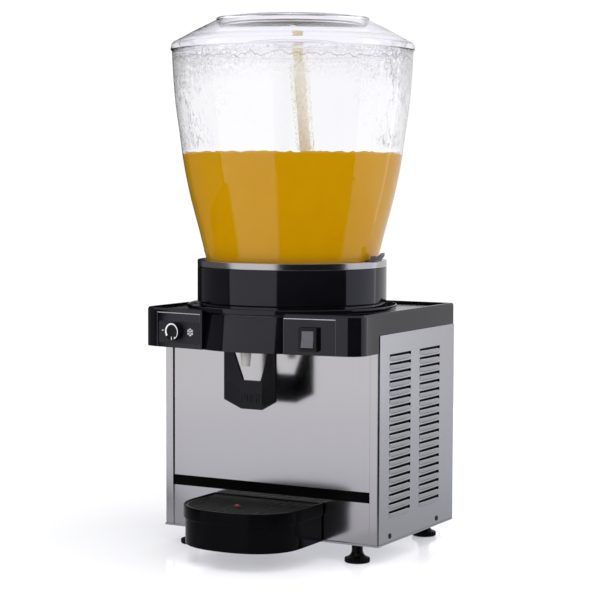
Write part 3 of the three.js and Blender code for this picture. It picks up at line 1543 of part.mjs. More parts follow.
const suctionX = coilOuter + coilTube;
const suctionY = coilTube * 4;
const suctionPath = [
  [suctionX, suctionY, tailZ - seatGap],
  [suctionX, suctionY, tailZ - pipeRadius * 4],
  [suctionX - pipeRadius * 8, suctionY, driveTop - driveHeight - pipeRadius * 4],
  [potX + stubReach + pipeRadius * 3, potY, potTop + pipeRadius * 12],
  [potX + stubReach, potY, potTop + pipeRadius * 4],
  [potX + stubReach, potY, potTop + seatGap],
];
place("suction_pipe", tubeAlong(suctionPath, pipeRadius, 0, pipeSides, 24), copper);

// Plan of the drip tray: straight flanks and a full, flattened bow
const bowDeep = 73;
const bowCurveShare = 0.87;
const bowSteps = 12;
const trayBackGap = 0.8;
const trayBandHeight = 17;
const trayBandOut = 2.2;
const trayFloor = 3;
const trayLedge = 2;

function trayOutline(inset) {
  const half = trayHalfWidth - inset;
  const back = frontPanelFace - trayBackGap - inset * trayBackShare;
  const bowStart = -trayReach + bowDeep;
  const deep = bowDeep - inset;
  const right = [];
  for (let i = 0; i <= bowSteps; i++) {
    const turn = (i / bowSteps) * (Math.PI / 2);
    const x = half * Math.cos(turn) ** bowCurveShare;
    const y = bowStart - deep * Math.sin(turn) ** bowCurveShare;
    right.push([x, y]);
  }
  const left = right.slice(0, -1).map(([x, y]) => [-x, y]).reverse();
  return [[half, back], ...right, ...left, [-half, back]].reverse();
}
const trayBackShare = -1;

// Tray bracket: a plate on the front panel with two tongues that the tray hangs on
const bracketPlateHalf = 40;
const bracketPlateThick = 1.6;
const bracketPlateFoot = 32;
const bracketPlateHigh = 16;
const tongueHalf = 8;
const tongueX = 28;
const tongueOut = 14;
const tongueSheet = 2;
const tongueDrop = 5;
const bracketFace = frontPanelFace - seatGap - bracketPlateThick;
const trayRearWall = bracketFace - trayBackGap;
const trayTop = trayLift + trayHeight;
const trayBandFoot = trayTop - trayBandHeight;
const tongueTop = panelFoot + bracketPlateFoot + bracketPlateHigh - tongueDrop;

function makeTrayBracket() {
  const foot = panelFoot + bracketPlateFoot;
  let body = block(-bracketPlateHalf, bracketPlateHalf, bracketFace, frontPanelFace - seatGap, foot, foot + bracketPlateHigh);
  for (const x of [-tongueX, tongueX]) {
    body = body.add(block(
      x - tongueHalf, x + tongueHalf, bracketFace - tongueOut, bracketFace + bracketPlateThick / 2, tongueTop - tongueSheet, tongueTop,
    ));
  }
  return body;
}

place("tray_bracket", makeTrayBracket(), steel);

// Tray body: a rim band that stands out over a slimmer tub, with two slots in its rear wall
function trayTub(inset, z0, z1, cutBack) {
  const tub = prism(trayOutline(inset), z0, z1);
  const behind = block(-caseWidth, caseWidth, cutBack, caseWidth, z0 - cutOver, z1 + cutOver);
  return tub.subtract(behind);
}

function makeTray() {
  const rear = trayRearWall;
  const rearIn = rear - trayWall;
  const band = trayTub(0, trayBandFoot, trayTop, rear);
  const tub = trayTub(trayBandOut, trayLift, trayTop - cutOver, rear);
  const hollow = trayTub(trayBandOut + trayWall, trayLift + trayFloor, trayTop + cutOver, rearIn);
  const gridRoom = trayTub(trayWall, trayTop - gridDrop - gridThick - seatGap, trayTop + cutOver, rearIn);
  const slots = [-tongueX, tongueX].map((x) => block(
    x - tongueHalf - moveGap, x + tongueHalf + moveGap, rearIn - cutOver, rear + cutOver,
    tongueTop - tongueSheet - moveGap, tongueTop + moveGap / 2,
  ));
  return cut(join(band, tub), hollow, gridRoom, ...slots);
}

// Drip grid: a slotted plate that lies in the rim, with a round hole for the float pin
const gridThick = 3;
const gridDrop = 1.4;
const gridPitchX = 50;
const gridPitchY = 12;
const gridBar = 2.6;
const gridEdge = 5;
const floatReach = 138;
const floatX = -5;
const floatPinRadius = 3;
const floatHoleRadius = 3.8;
const floatCollar = 7;

function makeGrid() {
  const top = trayTop - gridDrop;
  const rear = trayRearWall - trayWall - moveGap;
  const plate = trayTub(trayWall + moveGap, top - gridThick, top, rear);
  const field = trayTub(trayWall + moveGap + gridEdge, top - gridThick - cutOver, top + cutOver, rear - gridEdge);
  const bars = [];
  for (let y = rear - gridEdge; y > -trayReach; y -= gridPitchY) {
    bars.push(block(-trayHalfWidth, trayHalfWidth, y - gridBar, y, top - gridThick - cutOver, top + cutOver));
  }
  const columns = Math.ceil(trayHalfWidth / gridPitchX);
  for (let i = -columns; i <= columns; i++) {
    const x = i * gridPitchX;
    bars.push(block(x - gridBar / 2, x + gridBar / 2, -trayReach, rear, top - gridThick - cutOver, top + cutOver));
  }
  const collar = drum(floatHoleRadius + gridBar, top - gridThick - cutOver, top + cutOver, smallRound);
  bars.push(moved(collar, floatX, -floatReach, 0));
  const holes = field.subtract(wasm.Manifold.union(bars));
  const pinHole = moved(drum(floatHoleRadius, top - gridThick - cutOver, top + cutOver, smallRound), floatX, -floatReach, 0);
  return cut(plate, holes, pinHole);
}

// Float: a hollow-looking puck on the tray floor with a red pin through the grid
const floatRadius = 12;
const floatHigh = 12;
const floatPinOut = 2.4;

function makeFloat() {
  const foot = trayLift + trayFloor + seatGap;
  const body = turned([
    [0, foot], [floatRadius, foot], [floatRadius, foot + floatHigh], [floatPinRadius, foot + floatHigh + floatPinRadius],
    [floatPinRadius, trayTop - gridDrop + floatPinOut / 2], [floatPinRadius / 2, trayTop - gridDrop + floatPinOut],
    [0, trayTop - gridDrop + floatPinOut],
  ], smallRound);
  return moved(body, floatX, -floatReach, 0);
}

place("drip_tray", makeTray(), glossBlack);
place("drip_grid", makeGrid(), dullBlack);
place("tray_float", makeFloat(), floatRed);

const dispenser = new THREE.Group();
dispenser.add(machine);
export default dispenser;
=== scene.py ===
import json
import math

import bmesh
import bpy
from mathutils import Matrix, Vector, noise


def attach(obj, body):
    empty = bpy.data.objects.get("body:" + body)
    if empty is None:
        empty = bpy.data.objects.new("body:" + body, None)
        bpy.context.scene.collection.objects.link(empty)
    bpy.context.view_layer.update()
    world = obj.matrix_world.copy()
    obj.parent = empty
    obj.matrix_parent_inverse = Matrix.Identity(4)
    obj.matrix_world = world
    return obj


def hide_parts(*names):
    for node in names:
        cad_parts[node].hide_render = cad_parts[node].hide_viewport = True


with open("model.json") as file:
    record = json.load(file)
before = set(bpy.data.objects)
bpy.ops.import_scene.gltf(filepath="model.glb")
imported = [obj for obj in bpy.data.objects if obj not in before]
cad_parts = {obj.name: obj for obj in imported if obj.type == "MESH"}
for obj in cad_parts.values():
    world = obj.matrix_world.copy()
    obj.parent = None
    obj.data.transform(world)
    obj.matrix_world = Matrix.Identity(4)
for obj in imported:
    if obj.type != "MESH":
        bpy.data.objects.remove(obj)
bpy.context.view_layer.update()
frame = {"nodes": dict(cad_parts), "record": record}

mm = 0.001
axisY = 8.0  # the bowl's axis stands this far behind the middle of the outline, in mm
scene = bpy.context.scene
scene.view_settings.view_transform = "Standard"
behaviour = frame["record"]["behaviour"]
bodyOfNode = {node: body for body, nodes in behaviour["bodies"].items() for node in nodes}

# camera, as the photograph was taken; lengths in mm, angles in degrees

cameraValues = {
    "azimuth": 29.05,
    "distance": 2521.4,
    "height": 512.5,
    "pitch": 3.92,
    "roll": 0.18,
    "lens": 110.868,
    "sensor": 36,
    "shiftX": 0.0133,
    "near": 50,
    "far": 60000,
}


def makeCamera(v):
    data = bpy.data.cameras.new("photo_camera")
    data.lens = v["lens"]
    data.sensor_width = v["sensor"]
    data.shift_x = v["shiftX"]
    data.clip_start = v["near"] * mm
    data.clip_end = v["far"] * mm
    camera = bpy.data.objects.new("photo_camera", data)
    scene.collection.objects.link(camera)
    a, e, r = (math.radians(v[key]) for key in ("azimuth", "pitch", "roll"))
    back = Vector((math.sin(a) * math.cos(e), -math.cos(a) * math.cos(e), math.sin(e)))
    right = Vector((math.cos(a), math.sin(a), 0))
    up = back.cross(right)
    tiltedRight = right * math.cos(r) + up * math.sin(r)
    tiltedUp = up * math.cos(r) - right * math.sin(r)
    turn = Matrix((tiltedRight, tiltedUp, back)).transposed().to_4x4()
    place = Vector((v["distance"] * math.sin(a), axisY - v["distance"] * math.cos(a), v["height"])) * mm
    camera.matrix_world = Matrix.Translation(place) @ turn
    scene.camera = camera


makeCamera(cameraValues)
print("camera is set")

# node helpers; the owner of a node is a material or the world


def addNode(owner, kind, **values):
    node = owner.node_tree.nodes.new(kind)
    for key, value in values.items():
        setattr(node, key, value)
    return node


def link(owner, source, target):
    owner.node_tree.links.new(source, target)


def mathOf(owner, operation, first, second=0.0):
    # works on outputs of other nodes and on plain numbers
    node = addNode(owner, "ShaderNodeMath", operation=operation)
    for socket, value in zip(node.inputs, (first, second)):
        if isinstance(value, (int, float)):
            socket.default_value = value
        else:
            link(owner, value, socket)
    return node.outputs[0]


def multiply(owner, first, second):
    return mathOf(owner, "MULTIPLY", first, second)


def plus(owner, first, second):
    return mathOf(owner, "ADD", first, second)


def larger(owner, first, second):
    return mathOf(owner, "MAXIMUM", first, second)


def objectPlace(material):
    return addNode(material, "ShaderNodeTexCoord").outputs["Object"]


def axesOf(owner, place):
    parts = addNode(owner, "ShaderNodeSeparateXYZ")
    link(owner, place, parts.inputs["Vector"])
    return parts.outputs


def levelDirection(azimuth):
    # 0 is the front and 90 the right
    a = math.radians(azimuth)
    return math.sin(a), -math.cos(a), 0


def towards(material, place, azimuth):
    # how far a place lies in this level direction
    along = addNode(material, "ShaderNodeVectorMath", operation="DOT_PRODUCT")
    link(material, place, along.inputs[0])
    along.inputs[1].default_value = levelDirection(azimuth)
    return along.outputs["Value"]


def sectorEdge(half, soft):
    # cosines between which a sector of this half width begins
    return math.cos(math.radians(half + soft)), math.cos(math.radians(half - soft))


def stretchedNoise(material, scale, stretch=(1, 1, 1), detail=3.0, distortion=0.0):
    mapping = addNode(material, "ShaderNodeMapping")
    mapping.inputs["Scale"].default_value = stretch
    cloud = addNode(material, "ShaderNodeTexNoise")
    cloud.inputs["Scale"].default_value = scale
    cloud.inputs["Detail"].default_value = detail
    cloud.inputs["Distortion"].default_value = distortion
    link(material, objectPlace(material), mapping.inputs["Vector"])
    link(material, mapping.outputs["Vector"], cloud.inputs["Vector"])
    return cloud.outputs["Fac"]


def ranged(owner, source, low, high, fromLow=0.3, fromHigh=0.7, curve="LINEAR"):
    node = addNode(owner, "ShaderNodeMapRange", interpolation_type=curve)
    node.inputs["From Min"].default_value = fromLow
    node.inputs["From Max"].default_value = fromHigh
    node.inputs["To Min"].default_value = low
    node.inputs["To Max"].default_value = high
    link(owner, source, node.inputs["Value"])
    return node.outputs["Result"]


def twoTone(material, source, first, second, low=0.35, high=0.65):
    ramp = addNode(material, "ShaderNodeValToRGB")
    for stop, position, colour in zip(ramp.color_ramp.elements, (low, high), (first, second)):
        stop.position = position
        stop.color = (*colour, 1)
    link(material, source, ramp.inputs["Fac"])
    return ramp.outputs["Color"]


def colourBy(material, shader, *tones):
    link(material, twoTone(material, *tones), shader.inputs["Base Color"])


def roughBy(material, shader, *limits):
    link(material, ranged(material, *limits), shader.inputs["Roughness"])


def nearValue(material, source, value, reach):
    # 1 where the source has the value, 0 from this far away
    away = mathOf(material, "ABSOLUTE", mathOf(material, "SUBTRACT", source, value))
    return ranged(material, away, 1.0, 0.0, 0.0, reach)


def streaks(material, stretch, half, detail, distortion):
    # thin wandering lines, where a stretched cloud passes its middle value
    cloud = stretchedNoise(material, 1.0, stretch, detail, distortion)
    return nearValue(material, cloud, 0.5, half)


def addBump(material, shader, source, depth, strength):
    # depth in mm
    bump = addNode(material, "ShaderNodeBump")
    bump.inputs["Distance"].default_value = depth * mm
    bump.inputs["Strength"].default_value = strength
    link(material, source, bump.inputs["Height"])
    link(material, bump.outputs["Normal"], shader.inputs["Normal"])


# materials: one procedural material for each finish


def startMaterial(name, colour, roughness, metallic=0.0, specular=0.5):
    material = bpy.data.materials.new(name)
    material.use_nodes = True
    shader = material.node_tree.nodes["Principled BSDF"]
    shader.inputs["Base Color"].default_value = (*colour, 1)
    shader.inputs["Roughness"].default_value = roughness
    shader.inputs["Metallic"].default_value = metallic
    shader.inputs["Specular IOR Level"].default_value = specular
    return material, shader


def brushedSteel(name, colour, rough, grain, worn=0.95):
    # rough: smoothest and roughest; grain: how close the lines lie along x, y and z
    material, shader = startMaterial(name, colour, rough[0], metallic=1.0)
    lines = stretchedNoise(material, 1.0, grain, detail=4.0)
    roughBy(material, shader, lines, *rough)
    colourBy(material, shader, lines, colour, tuple(c * worn for c in colour))
    addBump(material, shader, lines, depth=0.003, strength=0.25)
    return material


def moulded(name, colour, rough, grain, shine=0.5, tint=(1, 1, 1)):
    # rough: smoothest and roughest; grain: how fine it is, and its depth in mm
    material, shader = startMaterial(name, colour, rough[0], specular=shine)
    shader.inputs["Specular Tint"].default_value = (*tint, 1)
    clouds = stretchedNoise(material, 14.0, detail=4.0)
    fine = stretchedNoise(material, grain[0], detail=2.0)
    roughBy(material, shader, clouds, *rough)
    colourBy(material, shader, clouds, colour, tuple(c * 1.35 + 0.001 for c in colour))
    addBump(material, shader, fine, grain[1], strength=0.5)
    return material


def galvanisedMaterial(name, colour, cell):
    material, shader = startMaterial(name, colour, 0.45, metallic=0.9)
    spangle = addNode(material, "ShaderNodeTexVoronoi")
    spangle.inputs["Scale"].default_value = cell
    link(material, objectPlace(material), spangle.inputs["Vector"])
    grey = addNode(material, "ShaderNodeSeparateColor")
    link(material, spangle.outputs["Color"], grey.inputs["Color"])
    colourBy(material, shader, grey.outputs["Red"], tuple(c * 0.84 for c in colour), colour, 0.1, 0.9)
    roughBy(material, shader, grey.outputs["Green"], 0.36, 0.58, 0, 1)
    return material


def copperMaterial():
    material, shader = startMaterial("copper_tube", (0.72, 0.36, 0.2), 0.3, metallic=1.0)
    clouds = stretchedNoise(material, 60.0, detail=5.0, distortion=0.6)
    colourBy(material, shader, clouds, (0.74, 0.38, 0.22), (0.42, 0.2, 0.12))
    roughBy(material, shader, clouds, 0.24, 0.45)
    return material


coolShine = (0.86, 0.86, 1.0)
steelFront = brushedSteel("brushed_steel_front", (0.585, 0.57, 0.592), (0.14, 0.16), (900, 900, 10), 0.985)
steelSide = brushedSteel("brushed_steel_side", (0.52, 0.52, 0.555), (0.22, 0.26), (900, 900, 12), 0.97)
steelBright = brushedSteel("steel_rim_turned", (0.56, 0.55, 0.57), (0.16, 0.24), (30, 30, 2600))
steelDeck = brushedSteel("steel_deck", (0.56, 0.56, 0.585), (0.22, 0.3), (700, 14, 700))
glossBlack = moulded(
    "gloss_black_moulding", (0.0022, 0.0022, 0.0032), (0.05, 0.09), (900, 0.004), 0.5, coolShine
)
trayBlack = moulded("tray_black_moulding", (0.001, 0.001, 0.0012), (0.1, 0.16), (900, 0.006), 0.06, coolShine)
satinBlack = moulded("satin_black_moulding", (0.0035, 0.0035, 0.004), (0.25, 0.35), (700, 0.02), 0.25)
leverBlack = moulded(
    "lever_black_moulding", (0.0035, 0.0035, 0.004), (0.17, 0.24), (1300, 0.01), 0.24, coolShine
)
footBlack = moulded("foot_black_moulding", (0.001, 0.001, 0.0012), (0.16, 0.26), (600, 0.01), 0.12)
gridBlack = moulded("grid_black_moulding", (0.0022, 0.0022, 0.0024), (0.2, 0.3), (800, 0.02), 0.2)
stripeBlack = moulded(
    "stripe_black_print", (0.0012, 0.0012, 0.0014), (0.3, 0.36), (1200, 0.005), 0.03, (0.4, 0.4, 0.45)
)
labelCharcoal = moulded("label_charcoal_print", (0.010, 0.010, 0.013), (0.4, 0.5), (1500, 0.01), 0.4)
rockerGrey = moulded("rocker_grey_moulding", (0.06, 0.06, 0.07), (0.24, 0.36), (900, 0.02))
# painted shade: dark grey for the sides of the pods' raised plate edges
plateShadeGrey = moulded("plate_side_painted_shade", (0.03, 0.03, 0.034), (0.24, 0.36), (900, 0.01))
# painted shade: near black for the hoods' inner faces and the sheet behind the slits, where the casing's
# inside lies in shade
slitPaintedShade = moulded("slit_painted_shade", (0.002, 0.002, 0.0025), (0.5, 0.6), (900, 0.01), 0.05)
clipGrey = moulded("clip_grey_moulding", (0.085, 0.08, 0.09), (0.3, 0.45), (700, 0.03))
fanGrey = moulded("fan_grey_moulding", (0.05, 0.052, 0.058), (0.4, 0.55), (500, 0.04))
markWhite = moulded("mark_white_print", (0.62, 0.62, 0.65), (0.4, 0.5), (1500, 0.008))
# painted highlight: light grey for the top of the pods' raised plate edges
plateHighlightGrey = moulded("plate_top_painted_highlight", (0.34, 0.34, 0.37), (0.3, 0.4), (900, 0.01))
nozzleGrey = moulded("nozzle_grey_moulding", (0.35, 0.345, 0.335), (0.25, 0.38), (600, 0.02))
paleMoulding = moulded("pale_moulding", (0.62, 0.61, 0.60), (0.25, 0.38), (600, 0.02))
sealGrey = moulded("seal_soft_grey", (0.08, 0.08, 0.085), (0.6, 0.75), (300, 0.06))
foamCream = moulded("foam_cream", (0.72, 0.66, 0.52), (0.85, 0.95), (260, 0.8))
potBlack = moulded("pot_black_paint", (0.012, 0.012, 0.014), (0.3, 0.45), (120, 0.08))
floatRed = moulded("float_dark_red", (0.22, 0.012, 0.02), (0.25, 0.35), (500, 0.02))
copper = copperMaterial()
galvanised = galvanisedMaterial("galvanised_sheet", (0.5, 0.51, 0.53), 240.0)
finnedAluminium = galvanisedMaterial("aluminium_fins", (0.6, 0.61, 0.63), 420.0)
darkScrew = galvanisedMaterial("dark_screw_steel", (0.03, 0.03, 0.032), 700.0)
magnetGrey = galvanisedMaterial("bare_magnet", (0.16, 0.165, 0.17), 500.0)

# clear walls and what they hold; lengths in mm

clearTint = (0.985, 0.985, 1.0)
bowlFilm = {
    "level": 541.5,  # height of the drink
    "dry": (2, 12),  # the marks begin between these distances above it
    "splash": 665.5,  # height of the wavy line that the spray leaves
    "wave": 4.5,  # how far that line wanders up and down
    "splashHalf": 1.4,
    "foamStart": (45, 4),  # foam and beads grow between these distances below the line
    "nearAzimuth": 29,  # foam and splash line are full on this side of the bowl
    "farShare": 0.25,  # what is left of them on the other side
    "fade": 30,  # they change over this distance to either side of the axis
    "flanks": (70, 125),  # the wandering lines grow between these distances to its left and right
    "middleShare": 0.12,  # what is left of those lines in the middle
    "lineDepth": 0.22,
    "lineColour": (0.42, 0.40, 0.36),
    "froth": (0.8, 0.2),  # the drink's paler top begins this far below the level, and is full above it
}


def clearPlastic(name, tint, roughness, ior=1.5):
    material, shader = startMaterial(name, tint, roughness)
    shader.inputs["Transmission Weight"].default_value = 1.0
    shader.inputs["IOR"].default_value = ior
    # rays from lamps go through clear walls, so that what they hold is lit
    clear = addNode(material, "ShaderNodeBsdfTransparent")
    clear.inputs["Color"].default_value = (0.96, 0.96, 0.96, 1)
    path = addNode(material, "ShaderNodeLightPath")
    showMixed(material, path.outputs["Is Shadow Ray"], shader.outputs["BSDF"], clear.outputs["BSDF"])
    return material, shader


def showMixed(material, share, first, second):
    # the surface changes from the first shader to the second
    mix = addNode(material, "ShaderNodeMixShader")
    for socket, source in zip(mix.inputs, (share, first, second)):
        link(material, source, socket)
    output = material.node_tree.nodes["Material Output"]
    link(material, mix.outputs["Shader"], output.inputs["Surface"])


def letLightIn(shader, weight, radius, scale):
    shader.inputs["Subsurface Weight"].default_value = weight
    shader.inputs["Subsurface Radius"].default_value = radius
    shader.inputs["Subsurface Scale"].default_value = scale * mm


def clearBowlMaterial():
    material, shader = clearPlastic("clear_bowl_wall", clearTint, 0.012)
    addBump(material, shader, stretchedNoise(material, 14.0, detail=1.0), depth=0.2, strength=0.2)
    return material


def wetBowlMaterial(v):
    # inner face above the drink: wandering lines of liquid, foam, beads and the wavy splash line
    material, shader = clearPlastic("wet_bowl_wall", clearTint, 0.012)
    place = objectPlace(material)
    height = axesOf(material, place)["Z"]
    above = ranged(material, height, 0.0, 1.0, *((v["level"] + step) * mm for step in v["dry"]))
    high = ranged(material, height, 0.0, 1.0, *((v["splash"] - step) * mm for step in v["foamStart"]))
    fade = v["fade"] * mm
    nearSide = ranged(material, towards(material, place, v["nearAzimuth"]), v["farShare"], 1.0, -fade, fade)

    patches = stretchedNoise(material, 1.0, (16, 16, 13), detail=2.0)
    runs = streaks(material, (95, 95, 34), 0.016, 4.0, 1.2)
    lines = multiply(material, runs, ranged(material, patches, 0.0, 1.0, 0.42, 0.6))
    sideways = mathOf(material, "ABSOLUTE", towards(material, place, v["nearAzimuth"] + 90))
    flanks = ranged(material, sideways, v["middleShare"], 1.0, *(step * mm for step in v["flanks"]))
    curls = streaks(material, (150, 150, 130), 0.02, 3.0, 1.6)
    foam = multiply(material, curls, multiply(material, high, nearSide))
    drawn = plus(material, multiply(material, lines, flanks), foam)
    drops = stretchedNoise(material, 1.0, (330, 330, 300), detail=1.0)
    beads = multiply(material, ranged(material, drops, 0.0, 0.8, 0.62, 0.72), high)
    wet = multiply(material, plus(material, drawn, beads), above)

    wave = stretchedNoise(material, 1.0, (60, 60, 3), detail=4.0)
    risen = plus(material, height, ranged(material, wave, -v["wave"] * mm, v["wave"] * mm))
    splash = multiply(material, nearValue(material, risen, v["splash"] * mm, v["splashHalf"] * mm), nearSide)
    ridge = multiply(material, splash, ranged(material, wave, 0.8, 1.3))
    marks = plus(material, multiply(material, drawn, above), ridge)
    colourBy(material, shader, marks, clearTint, v["lineColour"], 0.1, 0.9)
    addBump(material, shader, plus(material, wet, ridge), v["lineDepth"], strength=0.6)
    return material


def drinkSideMaterial():
    # inner face below the drink's level: wetted, so that nothing is mirrored there
    material, shader = clearPlastic("wetted_bowl_wall", (1.0, 0.995, 0.98), 0.0, 1.0)
    shader.inputs["Specular IOR Level"].default_value = 0.0
    return material


def clearLidMaterial():
    material, shader = clearPlastic("clear_lid_wall", (0.945, 0.94, 0.985), 0.012, 1.32)
    addBump(material, shader, stretchedNoise(material, 18.0, detail=1.0), depth=0.1, strength=0.1)
    return material


def creamTubeMaterial():
    material, shader = startMaterial("cream_spray_tube", (0.97, 0.95, 0.86), 0.3, specular=0.3)
    swirl = stretchedNoise(material, 1.0, (140, 140, 40), detail=4.0, distortion=1.0)
    colourBy(material, shader, swirl, (0.98, 0.965, 0.88), (0.95, 0.925, 0.81))
    addBump(material, shader, swirl, depth=0.5, strength=0.4)
    return material


def clearFilmMaterial():
    material, shader = clearPlastic("clear_liquid_film", (1.0, 0.99, 0.95), 0.02, 1.08)
    drawn = streaks(material, (230, 230, 110), 0.05, 3.0, 1.4)
    colourBy(material, shader, drawn, (1.0, 0.995, 0.97), (0.70, 0.65, 0.52), 0.1, 0.9)
    wavy = stretchedNoise(material, 1.0, (180, 180, 90), detail=3.0, distortion=1.0)
    addBump(material, shader, wavy, depth=0.3, strength=0.4)
    return material


def juiceMaterial(v):
    material, shader = startMaterial("amber_juice", (0.65, 0.352, 0.001), 0.4, specular=0.0)
    letLightIn(shader, 0.12, (1.0, 0.45, 0.05), 12)
    pulp = stretchedNoise(material, 9.0, (1, 1, 0.5), detail=4.0)
    body = twoTone(material, pulp, (0.64, 0.344, 0.0004), (0.662, 0.36, 0.0008))
    below, over = v["froth"]
    height = axesOf(material, objectPlace(material))["Z"]
    froth = ranged(material, height, 0.0, 1.0, (v["level"] - below) * mm, (v["level"] + over) * mm)
    mix = addNode(material, "ShaderNodeMix", data_type="RGBA")  # its colours are inputs 6 and 7 and output 2
    link(material, froth, mix.inputs["Factor"])
    link(material, body, mix.inputs[6])
    mix.inputs[7].default_value = (0.58, 0.39, 0.05, 1)
    link(material, mix.outputs[2], shader.inputs["Base Color"])
    addBump(material, shader, stretchedNoise(material, 420.0, detail=2.0), depth=0.12, strength=0.4)
    return material


def streamMaterial():
    material, shader = startMaterial("pale_juice_stream", (0.78, 0.70, 0.44), 0.3, specular=0.4)
    letLightIn(shader, 0.4, (1.0, 0.8, 0.3), 10)
    swirl = stretchedNoise(material, 1.0, (160, 160, 50), detail=4.0, distortion=0.8)
    colourBy(material, shader, swirl, (0.80, 0.73, 0.50), (0.70, 0.60, 0.34))
    addBump(material, shader, swirl, depth=0.8, strength=0.6)
    return material


clearBowl = clearBowlMaterial()
wetBowl = wetBowlMaterial(bowlFilm)
drinkSide = drinkSideMaterial()
clearLid = clearLidMaterial()
creamTube = creamTubeMaterial()
clearFilm = clearFilmMaterial()
amberJuice = juiceMaterial(bowlFilm)
paleStream = streamMaterial()
print("materials are made")

# mesh helpers, all in millimetres


def smoothMesh(mesh, smoothAngle, weld=False, flatten=False):
    # faces turned outwards, and shaded smooth up to this angle
    shaped = bmesh.new()
    shaped.from_mesh(mesh)
    if weld:
        bmesh.ops.remove_doubles(shaped, verts=shaped.verts, dist=0.02 * mm)
    if flatten:
        flat = math.radians(1.0)
        bmesh.ops.dissolve_limit(shaped, angle_limit=flat, verts=shaped.verts, edges=shaped.edges)
    bmesh.ops.recalc_face_normals(shaped, faces=shaped.faces)
    shaped.to_mesh(mesh)
    shaped.free()
    for attribute in ("custom_normal", "sharp_edge", "sharp_face"):
        if attribute in mesh.attributes:
            mesh.attributes.remove(mesh.attributes[attribute])
    mesh.shade_smooth()
    mesh.set_sharp_from_angle(angle=math.radians(smoothAngle))


def paintMesh(mesh, material):
    mesh.materials.clear()
    mesh.materials.append(material)


def placePiece(name, mesh, material, body, place):
    paintMesh(mesh, material)
    piece = bpy.data.objects.new(name, mesh)
    scene.collection.objects.link(piece)
    piece.matrix_world = place
    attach(piece, body)
    return piece


def newPiece(name, verts, faces, material, body, smoothAngle=35):
    mesh = bpy.data.meshes.new(name)
    mesh.from_pydata([Vector(p) * mm for p in verts], [], faces)
    mesh.validate()
    smoothMesh(mesh, smoothAngle)
    return placePiece(name, mesh, material, body, Matrix.Identity(4))


def standsFor(piece, *nodes):
    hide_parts(*nodes)


def slideMesh(piece, x, y):
    piece.data.transform(Matrix.Translation((x * mm, y * mm, 0)))


def netFaces(rows, columns, base=0, closedRows=True, closedColumns=True):
    # quads between the points of a net, which are numbered along each row
    faces = []
    for i in range(rows if closedRows else rows - 1):
        here, there = base + i * columns, base + (i + 1) % rows * columns
        for k in range(columns if closedColumns else columns - 1):
            m = (k + 1) % columns
            faces.append((here + k, here + m, there + m, there + k))
    return faces


def prismFaces(base, n):
    # two ends of n points each, and the sides between them
    faces = [tuple(base + i for i in range(n)), tuple(base + n + i for i in reversed(range(n)))]
    for i in range(n):
        j = (i + 1) % n
        faces.append((base + i, base + n + i, base + n + j, base + j))
    return faces


def softCorners(points, radius, steps=4, closed=True):
    # rounds each corner of an outline by an arc of about this radius
    straight = math.radians(172)  # a corner flatter than this stays
    sideShare = 0.45  # most of a side that an arc takes up
    count = len(points)
    rounded = []
    for i, here in enumerate(points):
        if not closed and i in (0, count - 1):
            rounded.append(here)
            continue
        a = Vector(points[i - 1]) - Vector(here)
        b = Vector(points[(i + 1) % count]) - Vector(here)
        if a.length < 1e-6 or b.length < 1e-6:
            continue
        turn = a.angle(b)
        if turn > straight:
            rounded.append(here)
            continue
        reach = min(radius / math.tan(turn / 2), a.length * sideShare, b.length * sideShare)
        start = Vector(here) + a.normalized() * reach
        end = Vector(here) + b.normalized() * reach
        for k in range(steps + 1):
            t = k / steps
            p = start * (1 - t) ** 2 + Vector(here) * 2 * t * (1 - t) + end * t * t
            rounded.append((p.x, p.y))
    return rounded


def turnedPiece(name, profile, material, body, steps=144, radial=None, smoothAngle=35):
    # closed profile of (radius, height), turned about the bowl's axis
    verts = []
    for i in range(steps):
        a = i / steps * math.tau
        for k, (r, z) in enumerate(profile):
            reach = radial(r, z, a, k) if radial else r
            verts.append((math.sin(a) * reach, -math.cos(a) * reach + axisY, z))
    return newPiece(name, verts, netFaces(steps, len(profile)), material, body, smoothAngle)


def onAxisClosed(profile):
    # lets a profile that starts and ends on the axis end in tiny discs instead of a pinched point
    return [(max(r, 0.02), z) for r, z in profile]


def softenEdges(piece, width, segments=2, angle=30):
    bevel = piece.modifiers.new("soft_edges", "BEVEL")
    bevel.width = width * mm
    bevel.segments = segments
    bevel.limit_method = "ANGLE"
    bevel.angle_limit = math.radians(angle)
    bevel.harden_normals = False
    bevel.miter_outer = "MITER_ARC"
    bevel.use_clamp_overlap = True


def evenNormals(piece):
    piece.modifiers.new("even_normals", "WEIGHTED_NORMAL").keep_sharp = True


def thicken(piece, thickness):
    # the sheet grows inwards from its outer face
    sheet = piece.modifiers.new("sheet", "SOLIDIFY")
    sheet.thickness = thickness * mm
    sheet.offset = -1
    return sheet


def blockPiece(name, corners, material, body, bevel=0.5, segments=3):
    (x0, y0, z0), (x1, y1, z1) = corners
    verts = [(x, y, z) for x in (x0, x1) for y in (y0, y1) for z in (z0, z1)]
    faces = [(0, 1, 3, 2), (4, 6, 7, 5), (0, 4, 5, 1), (2, 3, 7, 6), (0, 2, 6, 4), (1, 5, 7, 3)]
    piece = newPiece(name, verts, faces, material, body)
    softenEdges(piece, bevel, segments)
    return piece


def dressed(node, material, bevel=0.4, segments=2, smoothAngle=38, bevelAngle=32, flatten=True):
    # a copy of a CAD node with welded flats and softened edges, which stands for it
    source = frame["nodes"][node]
    mesh = source.data.copy()
    mesh.name = node + "_dressed"
    smoothMesh(mesh, smoothAngle, True, flatten)
    piece = placePiece(node + "_dressed", mesh, material, bodyOfNode[node], source.matrix_world)
    standsFor(piece, node)
    if bevel:
        softenEdges(piece, bevel, segments, bevelAngle)
        evenNormals(piece)


def paint(node, material):
    paintMesh(frame["nodes"][node].data, material)


# bowl, drink and lid

